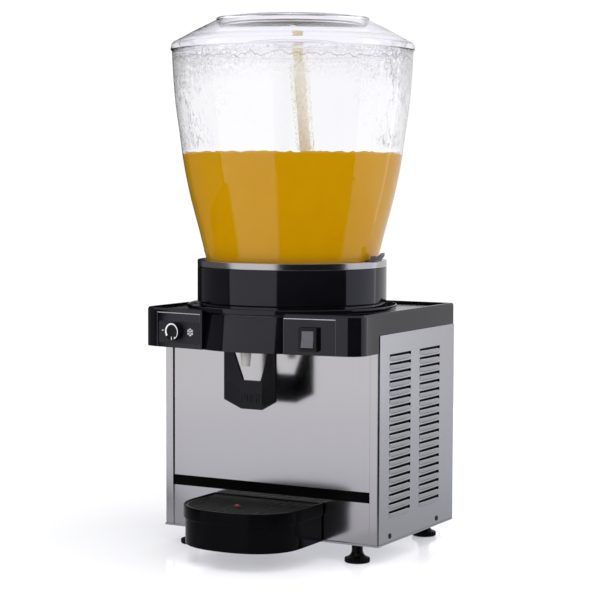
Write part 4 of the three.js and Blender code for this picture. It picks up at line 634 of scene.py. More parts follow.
bowlValues = {
    "foot": 390.5,
    "height": 287.4,
    "footRadius": 115.5,
    "rimRadius": 163.5,
    "wall": 3.5,
    "innerShare": 0.7,  # faces deeper in the wall than this share of it belong to its inner face
    "rimEdge": (0.5, 0.4, 0.3),  # the rim's outer and inner edge lie this far in, and this far down
    "rimFlat": 1.2,  # its flat top begins this far in, and the wall's curve ends this far down
    "footEdge": 0.7,
    "footSoft": 0.8,  # the wall's curve starts this far up
    "rows": 60,
    "steps": 180,
    "shapeShares": [  # of the height, and of the way from the foot's radius to the rim's
        (0, 0), (0.08, 0.12), (0.156, 0.233), (0.308, 0.471), (0.459, 0.658),
        (0.611, 0.785), (0.76, 0.904), (0.911, 0.975), (1, 1),
    ],
}
lugValues = {
    "inner": 113.8,
    "outer": 132.6,
    "half": 8,
    "foot": 395.7,
    "top": 398.2,
    "pinX": 125.5,
    "pin": [(0, 397.6), (1.9, 397.6), (1.9, 402.9), (1.6, 403.3), (0, 403.3)],
}
juiceValues = {
    "gap": 0.18,  # between the drink and the wall
    "foot": [(0.02, 388.1), (60, 388.1), (111.4, 388.1), (111.8, 389.5)],
    "sideStart": 391,
    "rows": 40,
    "edge": 0.6,  # the side ends this far below the level
    "edgeDrop": 0.5,
    "rings": (0.7, 1.6, 3, 5, 8, 14, 24, 40, 60, 80, 100),  # distances from the wall
    "climb": (1.4, 2.2),  # the drink climbs this high at the wall, within about this distance
    "rippleDepth": 3,  # only what lies less than this below the level is rippled
    "scallop": (2.6, 0.6, 0.06),  # height, resting value and closeness of the big ripples
    "ripple": (0.9, 0.25, 9),  # height, closeness and place in the noise of the small ones
    "steps": 480,
}
lidValues = {
    "gap": 0.3,  # between the bowl's rim and the lid; heights below are above that
    "outer": [
        (165.0, 0), (165.3, 0.5), (164.1, 7.6), (163.2, 9.0), (161.2, 10.7), (156.4, 13.0), (147.0, 18.0),
        (137.0, 23.5), (121.0, 31.6), (108.0, 38.2), (104.3, 39.9), (103.5, 40.8), (103.5, 42.8),
        (103.0, 43.19), (100.1, 43.19), (99.5, 42.6), (99.5, 34.8), (98.7, 34.0), (2.6, 34.0), (2.2, 34.5),
        (0, 34.6),
    ],
    "inner": [
        (0, 28.6), (1.0, 28.8), (4.6, 31.2), (6.0, 31.7), (98.2, 31.7), (103.6, 37.7), (120.4, 29.2),
        (136.3, 21.2), (146.2, 15.8), (154.0, 10.9), (156.6, 8.4), (157.0, 0.6), (156.4, -6.4), (156.7, -7.0),
        (158.3, -7.0), (158.8, -6.4), (158.8, 0),
    ],
}


def bowlRadius(z):
    # smooth curve through the measured points
    v = bowlValues
    points = v["shapeShares"]
    share = min(max((z - v["foot"]) / v["height"], 0), 1)
    k = max(i for i in range(len(points) - 1) if points[i][0] <= share + 1e-9)

    def slope(i):
        before, after = points[max(i - 1, 0)], points[min(i + 1, len(points) - 1)]
        return (after[1] - before[1]) / (after[0] - before[0])

    (x0, y0), (x1, y1) = points[k], points[k + 1]
    h = x1 - x0
    t = (share - x0) / h
    out = (
        (2 * t**3 - 3 * t**2 + 1) * y0 + (t**3 - 2 * t**2 + t) * h * slope(k)
        + (-2 * t**3 + 3 * t**2) * y1 + (t**3 - t**2) * h * slope(k + 1)
    )
    return v["footRadius"] + (v["rimRadius"] - v["footRadius"]) * out


def makeBowl(v):
    base, top, wall, rows = v["foot"], v["foot"] + v["height"], v["wall"], v["rows"]
    span = v["height"] - v["footSoft"] - v["rimFlat"]
    heights = [base + v["footSoft"] + span * i / rows for i in range(rows + 1)]
    outer = [(bowlRadius(z), z) for z in heights]
    inner = [(bowlRadius(z) - wall, z) for z in reversed(heights)]
    outerEdge, innerEdge, down = v["rimEdge"]
    out, within = v["rimRadius"], v["rimRadius"] - wall
    rim = [
        (out - outerEdge, top - down), (out - v["rimFlat"], top),
        (within + v["rimFlat"], top), (within + innerEdge, top - down),
    ]
    foot = [(v["footRadius"] - wall + v["footEdge"], base), (v["footRadius"] - v["footEdge"], base)]
    piece = turnedPiece("bowl_clear", outer + rim + inner + foot, clearBowl, "bowl", v["steps"])
    piece.data.materials.append(wetBowl)
    piece.data.materials.append(drinkSide)
    for face in piece.data.polygons:
        x, y, z = (c / mm for c in face.center)
        isInside = math.hypot(x, y - axisY) < bowlRadius(z) - wall * v["innerShare"]
        if isInside and base + 1 < z < top - 1:
            face.material_index = 1 if z > bowlFilm["level"] - 1 else 2
    standsFor(piece, "bowl")


def makeLugs(v):
    # each lug carries the pin that a latch turns on
    for side, word in ((-1, "left"), (1, "right")):
        x0, x1 = sorted((side * v["inner"], side * v["outer"]))
        corners = ((x0, axisY - v["half"], v["foot"]), (x1, axisY + v["half"], v["top"]))
        lug = blockPiece("bowl_lug_" + word, corners, clipGrey, "bowl", 0.5, 3)
        post = turnedPiece("bowl_lug_pin_" + word, onAxisClosed(v["pin"]), clipGrey, "bowl", 24)
        slideMesh(post, side * v["pinX"], 0)


def makeJuice(v):
    level = bowlFilm["level"]

    def inside(z):
        return bowlRadius(z) - bowlValues["wall"] - v["gap"]

    start, rows = v["sideStart"], v["rows"]
    heights = [start + (level - v["edge"] - start) * i / rows for i in range(rows + 1)]
    side = [(inside(z), z) for z in heights]
    high, wide = v["climb"]
    rim = level - v["edgeDrop"]
    top = [(inside(level) - d, rim - high * (1 - math.exp(-d / wide))) for d in v["rings"]]
    profile = v["foot"] + side + top + [(0.02, rim - high)]
    piece = turnedPiece("juice", profile, amberJuice, "bowl", v["steps"])
    high, sunk, close = v["scallop"]
    small, smallClose, where = v["ripple"]
    for vertex in piece.data.vertices:
        x, y, z = (c / mm for c in vertex.co)
        if z > level - v["rippleDepth"]:
            scallop = 1 - 2 * abs(noise.noise(Vector((x, y, 0)) * close))
            edge = high * (scallop - sunk) + small * noise.noise(Vector((x, y, where)) * smallClose)
            vertex.co.z += edge * mm


def makeLid(v):
    foot = bowlValues["foot"] + bowlValues["height"] + v["gap"]
    profile = onAxisClosed([(r, foot + z) for r, z in v["outer"] + v["inner"]])
    piece = turnedPiece("lid_clear", profile, clearLid, "lid", bowlValues["steps"], smoothAngle=50)
    standsFor(piece, "lid")


makeBowl(bowlValues)
makeLugs(lugValues)
makeJuice(juiceValues)
makeLid(lidValues)
print("bowl, juice and lid are made")

# spray tube: clear riser, the pale stream in it and the film that runs down outside

sprayValues = {
    "foot": (32.0, 417.7),  # x and height of the tube's foot and top
    "top": (9.0, 661.9),
    "outer": 7.0,
    "inner": 5.5,
    "rise": 1.0,  # the tube's wall starts this far up
    "chamfer": (0.2, 0.4),  # inside and outside at its foot
    "soft": (0.5, 0.4),  # edges outside and inside
    "streamFoot": 14,
    "streamGap": 0.35,
    "streamRows": 90,
    "jet": [(3, 0.6), (8, 1.6), (16, 2.4), (24, 2.2), (29, 0)],  # height over the tube, and how much wider
    "jetTip": (31, 1.5),
    "streamWobble": (0.35, 3.0),  # how rough it is, and its place in the noise
    "filmFoot": 128.0,
    "filmGap": 4.6,
    "filmBelly": 1.6,
    "filmRows": 120,
    "filmWobble": (2.0, 11.0),
}


def leaningPiece(name, rings, material, body, sides=40, wobble=(0.0, 0.0)):
    # rings of (distance along the tube, radius), closed into a solid
    (footX, footZ), (topX, topZ) = sprayValues["foot"], sprayValues["top"]
    start = Vector((footX, axisY, footZ))
    along = (Vector((topX, axisY, topZ)) - start).normalized()
    sideways = Vector((0, 1, 0))
    across = sideways.cross(along).normalized()
    rough, seed = wobble

    def ripple(a, distance, turns, close, where):
        place = Vector((math.cos(a) * turns, math.sin(a) * turns, distance * close + where))
        return rough * noise.noise(place)

    isHollow = rings[0] == rings[-1]
    if isHollow:
        rings = rings[:-1]
    verts = []
    for distance, radius in rings:
        for i in range(sides):
            a = i / sides * math.tau
            out = across * math.cos(a) + sideways * math.sin(a)
            if rough and radius > 1:
                uneven = ripple(a, distance, 1.6, 0.09, seed) + 0.5 * ripple(a, distance, 4, 0.2, -seed)
            else:
                uneven = 0
            verts.append(start + along * distance + out * max(radius + uneven, 0.02))
    faces = netFaces(len(rings), sides, closedRows=isHollow)
    if not isHollow:
        faces.append(tuple(reversed(range(sides))))
        faces.append(tuple((len(rings) - 1) * sides + i for i in range(sides)))
    return newPiece(name, verts, faces, material, body)


def makeSpray(v):
    length = math.hypot(v["top"][0] - v["foot"][0], v["top"][1] - v["foot"][1])
    o, i = v["outer"], v["inner"]
    rise, (within, without), (soft, softBore) = v["rise"], v["chamfer"], v["soft"]
    ring = [
        (rise + within, i), (rise, i + soft), (rise, o - soft), (rise + without, o), (length - soft, o),
        (length, o - soft), (length, i + softBore), (length - softBore, i), (rise + within, i),
    ]
    tube = leaningPiece("spray_tube_cream", ring, creamTube, "spray_tube")
    standsFor(tube, "spray_tube")
    foot, rows = v["streamFoot"], v["streamRows"]
    stream = [(foot + (length - 1 - foot) * k / rows, i - v["streamGap"]) for k in range(rows + 1)]
    stream += [(length + up, i + wider) for up, wider in v["jet"]]
    stream.append((length + v["jetTip"][0], v["jetTip"][1]))
    core = leaningPiece("juice_stream", stream, paleStream, "spray_tube", 32, v["streamWobble"])
    foot, rows = v["filmFoot"], v["filmRows"]
    film = []
    for k in range(rows + 1):
        belly = v["filmBelly"] * math.sin(math.pi * k / rows)
        film.append((foot + (length - foot - 1) * k / rows, o + v["filmGap"] + belly))
    wet = leaningPiece("juice_film", film, clearFilm, "spray_tube", 64, v["filmWobble"])


makeSpray(sprayValues)
print("spray tube is made")

# black collar, steel rim and the gutter round them

stackValues = {
    "radius": 129.0,
    "collarFoot": 338.4,
    "collarTop": 386.3,
    "collarWall": 3,
    "collarChamfer": 1.5,
    "collarEdge": 0.4,
    "rimTop": 395.4,
    "lip": (1.8, 8.8),  # thickness and depth of the dish's turned-down lip
    "sheet": 1.7,
    "wellRadius": 117.7,
    "wellDepth": 8.0,
    "hubRadius": 34,
    "hubRise": 6,
    "gutterFoot": 327.3,
    "seat": (113, 127),  # inner and outer radius of the seat ring's upright part
    "seatGap": 0.3,
    "gutter": [  # radius, and height above the foot
        (140.8, 0), (143, 2.2), (143, 7.6), (142.2, 8.4), (140.9, 7.8), (140.6, 2.6),
    ],
    "gutterFloor": 2.2,
    "steps": 180,
}


def makeStack(v):
    r, steps = v["radius"], v["steps"]
    foot, top, chamfer = v["collarFoot"], v["collarTop"], v["collarChamfer"]
    collar = [
        (r - v["collarWall"], foot), (r - chamfer, foot), (r, foot + chamfer),
        (r, top - v["collarEdge"]), (r - v["collarEdge"], top), (r - v["collarWall"], top),
    ]
    piece = turnedPiece("collar_gloss", softCorners(collar, 0.5), glossBlack, "casing", steps)
    standsFor(piece, "collar")

    top, floor, sheet = v["rimTop"], v["rimTop"] - v["wellDepth"], v["sheet"]
    well, hub, hubTop = v["wellRadius"], v["hubRadius"], v["rimTop"] - v["wellDepth"] + v["hubRise"]
    lip, deep = v["lip"]
    dish = [
        (0, hubTop - sheet), (hub - sheet, hubTop - sheet), (hub - sheet, floor - sheet),
        (well + sheet, floor - sheet), (well + sheet, top - sheet), (r - lip, top - sheet),
        (r - lip, top - deep), (r, top - deep), (r, top), (well, top), (well, floor), (hub, floor),
        (hub, hubTop), (0, hubTop),
    ]
    rounded = softCorners(dish, 0.8, closed=False)
    piece = turnedPiece("dish_steel", onAxisClosed(rounded), steelBright, "casing", steps)
    standsFor(piece, "evaporator_dish")

    (inner, outer), foot, seatTop = v["seat"], v["gutterFoot"], v["collarFoot"] - v["seatGap"]
    gutter = [(inner, foot), *((radius, foot + z) for radius, z in v["gutter"])]
    gutter += [(outer, foot + v["gutterFloor"]), (outer, seatTop), (inner, seatTop)]
    piece = turnedPiece("gutter_gloss", softCorners(gutter, 0.7), glossBlack, "casing", steps)
    standsFor(piece, "seat_ring")


makeStack(stackValues)
print("collar, rim and gutter are made")

# casing sheets

panelValues = {
    "face": 165.0,
    "sheet": 1.2,
    "front": -52.8,
    "rear": 181.0,
    "foot": 27.3,
    "top": 302.5,
    "rows": 19,
    "pitch": 11.57,
    "firstLip": 275.6,
    "columns": (-24.4, 68.2),
    "length": 65.0,
    "slot": 4.2,
    "nearGap": 2.6,  # the slit's height at its front end and at its rear end
    "farGap": 3.1,
    "hook": (0.72, 0.1),  # the slit widens into a hook from this share of its half length, over the next
    "hookDrop": 0.3,
    "hood": 9.4,
    "hoodSheet": 0.9,
    "out": 1.9,
    "lift": 0.08,  # the hood's foot lies this far out of the sheet
    "bulge": 1.7,  # powers: how full the hood is, how blunt its ends are, how close the mesh is there
    "blunt": (5, 0.75),
    "crowding": 1.5,
    "endShare": 0.3,  # the hood is this much shorter at its ends
    "across": 28,  # steps of its mesh
    "down": 8,
    "shadeSheetIn": 2.4,  # a dark sheet of painted shade lies this far behind the outer face
    "shadeSheet": 0.3,
    "shadeSheetOver": 3,
}


def louvredPanel(name, side, v):
    lips = [v["firstLip"] - v["pitch"] * row for row in range(v["rows"])]
    slots = [(lip - v["slot"], lip) for lip in lips]
    columns = [(start, start + v["length"]) for start in v["columns"]]
    ys = sorted({v["front"], v["rear"], *(end for column in columns for end in column)})
    zs = sorted({v["foot"], v["top"], *(end for slot in slots for end in slot)})
    verts = [(side * v["face"], y, z) for y in ys for z in zs]
    faces = []
    for i in range(len(ys) - 1):
        for k in range(len(zs) - 1):
            y = (ys[i] + ys[i + 1]) / 2
            z = (zs[k] + zs[k + 1]) / 2
            if any(low < y < high for low, high in columns) and any(low < z < high for low, high in slots):
                continue
            a = i * len(zs) + k
            b = a + len(zs)
            faces.append((a, b, b + 1, a + 1) if side > 0 else (a, a + 1, b + 1, b))
    panel = newPiece(name, verts, faces, steelSide, "casing")
    thicken(panel, v["sheet"])
    softenEdges(panel, 0.25)
    evenNormals(panel)
    return panel


def louvreHoods(name, side, v):
    across, down, half = v["across"], v["down"], v["length"] / 2
    hookStart, hookLong = v["hook"]
    blunt, blunter = v["blunt"]
    verts, faces = [], []
    for start in v["columns"]:
        for row in range(v["rows"]):
            lip = v["firstLip"] - v["pitch"] * row
            faces += netFaces(down + 1, across + 1, len(verts), False, False)
            for k in range(down + 1):
                t = k / down
                for i in range(across + 1):
                    # u runs from -1 at the front end to 1 at the rear end
                    u = 2 * i / across - 1
                    u = math.copysign(1 - (1 - abs(u)) ** v["crowding"], u)
                    end = (1 - abs(u) ** blunt) ** blunter
                    gap = v["nearGap"] + (v["farGap"] - v["nearGap"]) * (u + 1) / 2
                    gap += (v["slot"] + v["hookDrop"] - gap) * min(max((u - hookStart) / hookLong, 0), 1) ** 2
                    out = v["lift"] + v["out"] * (1 - t ** v["bulge"]) * end
                    drop = gap + (v["hood"] - gap) * t * (1 - v["endShare"] + v["endShare"] * end)
                    verts.append((side * (v["face"] + out), start + half + u * half, lip - drop))
    piece = newPiece(name, verts, faces, steelSide, "casing", 60)
    # the hoods' inner faces take the painted shade of the slits
    piece.data.materials.append(slitPaintedShade)
    thicken(piece, v["hoodSheet"]).material_offset = 1


def makeSidePanels(v):
    over = v["shadeSheetOver"]
    inner, outer = v["face"] - v["shadeSheetIn"], v["face"] - v["shadeSheetIn"] - v["shadeSheet"]
    ys = (v["columns"][0] - over, v["columns"][1] + v["length"] + over)
    zs = (v["firstLip"] - v["pitch"] * (v["rows"] - 1) - v["hood"], v["firstLip"] + over)
    for side, word in ((-1, "left"), (1, "right")):
        panel = louvredPanel("side_sheet_" + word, side, v)
        standsFor(panel, "side_panel_" + word)
        louvreHoods("louvre_hoods_" + word, side, v)
        xs = sorted((side * inner, side * outer))
        # a dark sheet behind the slits: painted shade in place of the casing's inside seen through them
        shadeSheet = blockPiece("louvre_shade_sheet_" + word, tuple(zip(xs, ys, zs)), slitPaintedShade, "casing", 0.1, 1)


makeSidePanels(panelValues)
for side in ("left", "right"):
    dressed("front_post_" + side, steelFront, 0.35, 3)
paint("front_panel", steelFront)
paint("front_stripe", stripeBlack)
paint("top_deck", steelDeck)
paint("rear_panel", galvanised)
paint("base_pan", steelSide)
dressed("tray_bracket", steelFront, 0.3)
dressed("cord_gland", satinBlack, 0.5)
for end in ("front_left", "front_right", "rear_left", "rear_right"):
    dressed("side_screw_" + end, darkScrew, 0.25)
print("casing sheets are made")

# black housing, apron plate, lever and tap

dressed("top_housing", glossBlack, 0.9, 3, smoothAngle=30, bevelAngle=40)
dressed("apron_floor", satinBlack, 0.25)
dressed("tap_lever", leverBlack, 0, smoothAngle=20, flatten=False)
dressed("tap_body", paleMoulding, 0.3)
dressed("valve_plunger", clipGrey, 0.2)
paint("plunger_spring", steelBright)
paint("feed_pipe", paleMoulding)

nozzleValues = {
    "y": -124.0,  # from the bowl's axis
    "foot": 259.8,
    "top": 284.1,
    "bore": 4.2,
    "mouth": [(5.4, 0), (5.9, 6), (7.4, 19.5), (7.4, 22.5), (10.5, 22.5)],  # radius, and height over the foot
    "flange": 10.5,
    "socket": (6.2, 8),  # radius at the top, and depth to the bore
}


def makeNozzle(v):
    foot, top = v["foot"], v["top"]
    wide, deep = v["socket"]
    outline = [(v["bore"], foot), *((r, foot + z) for r, z in v["mouth"])]
    outline += [(v["flange"], top), (wide, top), (v["bore"], top - deep)]
    piece = turnedPiece("nozzle_pale", softCorners(outline, 0.5), nozzleGrey, "casing", 48)
    slideMesh(piece, 0, v["y"])
    standsFor(piece, "nozzle")


makeNozzle(nozzleValues)
print("tap is made")

# controls on the two pods: across and up on the pod's face, from its middle

podValues = {"x": 97.6, "faceY": -120.882, "z": 300.0, "turn": math.atan2(11.5, 80.0)}


def podMatrix(side):
    v = podValues
    place = Matrix.Translation(Vector((side * v["x"], v["faceY"], v["z"])) * mm)
    return place @ Matrix.Rotation(side * v["turn"], 4, "Z")


def flatMark(name, outlines, out, side, material, body, thick):
    # thin raised print, which begins this far out from the pod's face
    verts, faces = [], []
    for outline in outlines:
        faces += prismFaces(len(verts), len(outline))
        verts += [(u, -out - thick, w) for u, w in outline]
        verts += [(u, -out, w) for u, w in outline]
    piece = newPiece(name, verts, faces, material, body)
    piece.data.transform(podMatrix(side))
    return piece


def bar(u0, w0, u1, w1, width):
    along = Vector((u1 - u0, w1 - w0)).normalized()
    off = Vector((-along.y, along.x)) * width / 2
    x, y = off
    return [(u0 + x, w0 + y), (u0 - x, w0 - y), (u1 - x, w1 - y), (u1 + x, w1 + y)]


knobValues = {
    "across": -6.8,
    "up": 1.9,
    "radius": 12.0,
    "foot": 1.6,
    "out": 11.8,
    "edge": 0.8,
    "grips": 20,
    "gripDepth": 0.2,
    "gripEdge": (0.5, 0.9),  # grips lie only on what is this near the rim, and this far below the face
    "arc": 11.1,
    "arcStart": -52,
    "arcTurn": 268,
    "arcBroad": (0.7, 2.1),  # at its start, and what it gains up to its end
    "arcSteps": 48,
    "arrowIn": 0.8,  # the arrow's middle lies this far inside the arc
    "arrow": (0.8, 2.2, 2.6),  # its corners lie this far outwards, inwards and ahead of that
    "tick": (4.2, 1.1),  # length and width
    "print": (0.01, 0.06),  # the marks' gap and thickness
}


def makeKnob(v):
    out, edge = v["out"], v["edge"]
    radius, foot, (near, below) = v["radius"], v["foot"], v["gripEdge"]
    outline = [(0, foot), (radius, foot), (radius, out - edge), (radius - edge, out), (0, out)]
    rounded = softCorners(outline, 0.4, 3, closed=False)

    def gripped(r, z, a, k):
        if r > radius - near and z < out - below:
            return r - v["gripDepth"] * (0.5 + 0.5 * math.cos(a * v["grips"])) ** 4
        return r

    knob = turnedPiece("knob_gloss", onAxisClosed(rounded), satinBlack, "thermostat_knob", radial=gripped)
    stand = Matrix.Translation((0, -axisY * mm, 0))
    shift = Matrix.Translation((v["across"] * mm, 0, v["up"] * mm))
    knob.data.transform(podMatrix(-1) @ shift @ Matrix.Rotation(math.radians(90), 4, "X") @ stand)
    standsFor(knob, "thermostat_knob")

    def onCircle(angle, radius):
        return math.cos(angle) * radius, math.sin(angle) * radius

    # the arc grows from a thin arrow at the lower right to a broad end at the lower left
    steps, arc = v["arcSteps"], v["arc"]
    thin, gain = v["arcBroad"]
    outer, inner = [], []
    for k in range(steps + 1):
        a = math.radians(v["arcStart"] + v["arcTurn"] * k / steps)
        outer.append(onCircle(a, arc))
        inner.append(onCircle(a, arc - thin - gain * k / steps))
    strips = [[outer[k], outer[k + 1], inner[k + 1], inner[k]] for k in range(steps)]
    tip = math.radians(v["arcStart"])
    outwards, inwards, forwards = v["arrow"]
    away, ahead = Vector(onCircle(tip, 1)), Vector((math.sin(tip), -math.cos(tip)))
    c = away * (arc - v["arrowIn"])
    arrow = [tuple(c + away * outwards), tuple(c - away * inwards), tuple(c + ahead * forwards)]
    long, wide = v["tick"]
    tick = bar(0, long - arc, 0, -arc, wide)
    shapes = [[(a + v["across"], b + v["up"]) for a, b in shape] for shape in strips + [arrow, tick]]
    gap, thick = v["print"]
    marks = flatMark("knob_marks", shapes, out + gap, -1, markWhite, "thermostat_knob", thick)


labelValues = {
    "half": (35.2, 14.4),
    "across": -3.0,
    "corner": 1.5,
    "cornerSteps": 6,
    "gap": 0.3,
    "sheet": 0.5,
    "snow": (16.5, 1.4),  # the snowflake's middle
    "arm": (0.8, 5.5, 0.8),  # start, end and width of its six arms
    "twig": (3.1, 2.2, 0.75),  # where two twigs leave each arm, their length and width
    "twigTurn": 52,
    "dash": (-29.8, -33.0, 1.9, 1.0),  # start, end, height and width
    "print": (0.02, 0.05),  # the marks' gap above the label, and thickness
}


def makeLabel(v):
    (wide, tall), r, shift = v["half"], v["corner"], v["across"]
    corners = []
    for quarter, (right, up) in enumerate(((1, 1), (-1, 1), (-1, -1), (1, -1))):
        for k in range(v["cornerSteps"] + 1):
            a = math.radians(90 * quarter + 90 * k / v["cornerSteps"])
            corners.append((right * (wide - r) + r * math.cos(a) + shift, up * (tall - r) + r * math.sin(a)))
    label = flatMark("control_label_print", [corners], v["gap"], -1, labelCharcoal, "casing", v["sheet"])
    standsFor(label, "control_label")

    near, far, wide = v["arm"]
    fork, long, thin = v["twig"]
    arms = []
    for k in range(6):
        a = math.radians(60 * k + 30)
        u, w = math.cos(a), math.sin(a)
        arms.append(bar(u * near, w * near, u * far, w * far, wide))
        fromU, fromW = u * fork, w * fork
        for turn in (-v["twigTurn"], v["twigTurn"]):
            b = a + math.radians(turn)
            arms.append(bar(fromU, fromW, fromU + math.cos(b) * long, fromW + math.sin(b) * long, thin))
    middleU, middleW = v["snow"]
    snow = [[(middleU + u, middleW + w) for u, w in arm] for arm in arms]
    start, end, up, wide = v["dash"]
    gap, thick = v["print"]
    shapes = snow + [bar(start, up, end, up, wide)]
    marks = flatMark("label_marks", shapes, v["gap"] + v["sheet"] + gap, -1, markWhite, "casing", thick)


plateValues = {
    "left": (-42.0, 33.0),
    "right": (-35.8, 35.5),
    "foot": -20.2,
    "top": 25.9,
    "line": 0.9,
    "out": 0.35,
}


def makePlates(v):
    # each pod has a slightly raised plate edge: a painted highlight along its top and painted shade along its
    # sides
    foot, top, line = v["foot"], v["top"], v["line"]
    for side, word in ((-1, "left"), (1, "right")):
        u0, u1 = v[word]
        upper = [bar(u0, top, u1, top, line)]
        edges = [bar(u0, foot, u0, top, line), bar(u1, foot, u1, top, line)]
        # the top edge gets the painted highlight, the side edges the painted shade
        for part, bars, material in (("top_", upper, plateHighlightGrey), ("sides_", edges, plateShadeGrey)):
            edge = flatMark("plate_painted_light_edge_" + part + word, bars, 0, side, material, "casing", v["out"])


makeKnob(knobValues)
makeLabel(labelValues)
makePlates(plateValues)
paint("thermostat_body", galvanised)
dressed("switch_bezel", satinBlack, 0.45, 3)
dressed("switch_rocker", rockerGrey, 0.5, 3)
print("controls are made")

# latches

for side in ("left", "right"):
    dressed("bowl_latch_" + side, clipGrey, 0.5, 3)

# drip tray, grid and float

dressed("drip_tray", trayBlack, 0.8, 3, smoothAngle=30, bevelAngle=40)

gridValues = {
    "half": 80.9,
    "bowStart": -120.0,
    "bowDeep": 69.9,
    "curve": 0.87,
    "rear": -67.3,
    "top": 75.8,
    "thick": 3.0,
    "rim": 3.2,
    "soft": 0.4,  # the rim's edges
    "barSoft": 0.45,
    "pitchY": 4.9,
    "barY": 1.7,
    "pitchX": 13.2,
    "barX": 1.5,
    "crossbars": (0.3, 0.25),  # they lie this far inside the rim's foot and top
    "ribDown": 0.45,  # the lengthwise ribs lie this far below its top
    "steps": 40,
    "pinX": -5.0,
    "pinY": -138.0,
    # ring round the float's pin: radius, and height above the grid's foot
    "eye": [(3.8, 0), (5.6, 0), (5.6, 3.1), (5.2, 3.4), (4.2, 3.4), (3.8, 3.1)],
}
floatValues = {
    "outline": [
        (0, 28.3), (11.6, 28.3), (12, 28.8), (12, 39.8), (11.6, 40.3), (3.6, 42.6), (3, 43.6),
        (3, 77.2), (2.4, 78.0), (1.5, 78.2), (0, 78.25),
    ],
}


def gridHalfWidth(y, inset):
    v = gridValues
    half, deep = v["half"] - inset, v["bowDeep"] - inset
    if y >= v["bowStart"]:
        return half
    share = min((v["bowStart"] - y) / deep, 1)
    return half * max(1 - share ** (2 / v["curve"]), 0) ** (v["curve"] / 2)


def makeGrid(v):
    foot, top = v["top"] - v["thick"], v["top"]
    rim, soft = v["rim"], v["soft"]
    inside = rim - soft
    verts, faces = [], []

    def addBar(x0, x1, y0, y1, low, high, isCross):
        # six-sided bar with softened top edges
        a, b = (y0, y1) if isCross else (x0, x1)
        s = v["barSoft"]
        outline = [(a, low), (b, low), (b, high - s), (b - s, high), (a + s, high), (a, high - s)]
        faces.extend(prismFaces(len(verts), len(outline)))
        for end in (x0, x1) if isCross else (y0, y1):
            for across, z in outline:
                verts.append((end, across + axisY, z) if isCross else (across, end + axisY, z))

    right = []
    for i in range(v["steps"] + 1):
        a = i / v["steps"] * math.pi / 2
        right.append((math.cos(a) ** v["curve"], math.sin(a) ** v["curve"]))
    shares = right + [(-x, y) for x, y in reversed(right[:-1])]

    def loop(inset):
        half, deep, rear = v["half"] - inset, v["bowDeep"] - inset, v["rear"] - inset
        return [(half, rear), *((half * x, v["bowStart"] - deep * y) for x, y in shares), (-half, rear)]

    rings = [
        (loop(0), foot), (loop(0), top - soft), (loop(soft), top),
        (loop(inside), top), (loop(rim), top - soft), (loop(rim), foot),
    ]
    for points, z in rings:
        verts += [(x, y + axisY, z) for x, y in points]
    faces += netFaces(len(rings), len(rings[0][0]))
    up, down = v["crossbars"]
    front = v["bowStart"] - v["bowDeep"] + rim
    y = v["rear"] - rim - v["pitchY"] + v["barY"]
    while y > front + 2:
        half = gridHalfWidth(y, inside)
        addBar(-half, half, y - v["barY"], y, foot + up, top - down, True)
        y -= v["pitchY"]
    columns = int(v["half"] / v["pitchX"])
    for i in range(-columns, columns + 1):
        x = i * v["pitchX"]
        reach = v["bowStart"]
        while gridHalfWidth(reach, inside) > abs(x) + v["barX"] and reach > front - soft:
            reach -= 0.25
        half = v["barX"] / 2
        addBar(x - half, x + half, reach, v["rear"] - inside, foot, top - v["ribDown"], False)
    piece = newPiece("drip_grid_bars", verts, faces, gridBlack, "drip_grid")
    standsFor(piece, "drip_grid")
    eye = turnedPiece("drip_grid_eye", [(r, foot + z) for r, z in v["eye"]], gridBlack, "drip_grid", 36)
    slideMesh(eye, v["pinX"], v["pinY"])


def makeFloat(v):
    piece = turnedPiece("float_pin", onAxisClosed(v["outline"]), floatRed, "tray_float", 40)
    slideMesh(piece, gridValues["pinX"], gridValues["pinY"])
    standsFor(piece, "tray_float")


makeGrid(gridValues)
makeFloat(floatValues)
print("tray is made")

# feet: notched disc, flared waist, threaded stem

footValues = {
    "radius": 16.9,
    "discFoot": [(0, 0), (14.2, 0), (16.2, 0.5)],
    "discSide": (1.4, 5.4),
    "waist": [
        (16.2, 6.4), (14.6, 7.0), (12.0, 8.0), (9.9, 9.8), (8.5, 11.8), (7.7, 14.0), (7.4, 16.5), (7.4, 23.6),
        (7.0, 24.2),
    ],
    "stem": 4,
    "stemTop": 40.5,
    "thread": 0.15,
    "threadStart": 25,
    "notches": 20,
    "notchDepth": 1.7,
    "notchFrom": 14.4,
    "notchHeights": (0.3, 6.8),
    "steps": 176,
    "places": {
        "front_left": (-128.0, -50.5), "front_right": (128.0, -50.5),
        "rear_left": (-128.0, 158.0), "rear_right": (128.0, 158.0),
    },
}


def makeFeet(v):
    side = [(v["radius"], z) for z in v["discSide"]]
    stem = [(v["stem"], v["waist"][-1][1]), (v["stem"], v["stemTop"]), (0, v["stemTop"])]
    outline = onAxisClosed(v["discFoot"] + side + v["waist"] + stem)
    low, high = v["notchHeights"]

    def notched(r, z, a, k):
        if r > v["notchFrom"] and low < z < high:
            return r - v["notchDepth"] * (0.5 + 0.5 * math.cos(a * v["notches"])) ** 3
        if abs(r - v["stem"]) < 0.01 and z > v["threadStart"]:
            return r - v["thread"] * (k % 2)
        return r

    for word, (x, y) in v["places"].items():
        node = "foot_" + word
        foot = turnedPiece("foot_knurled_" + word, outline, footBlack, node, v["steps"], radial=notched)
        slideMesh(foot, x, y)
        standsFor(foot, node)


makeFeet(footValues)
print("feet are made")

# what is inside, seen through the louvres and when pieces are lifted

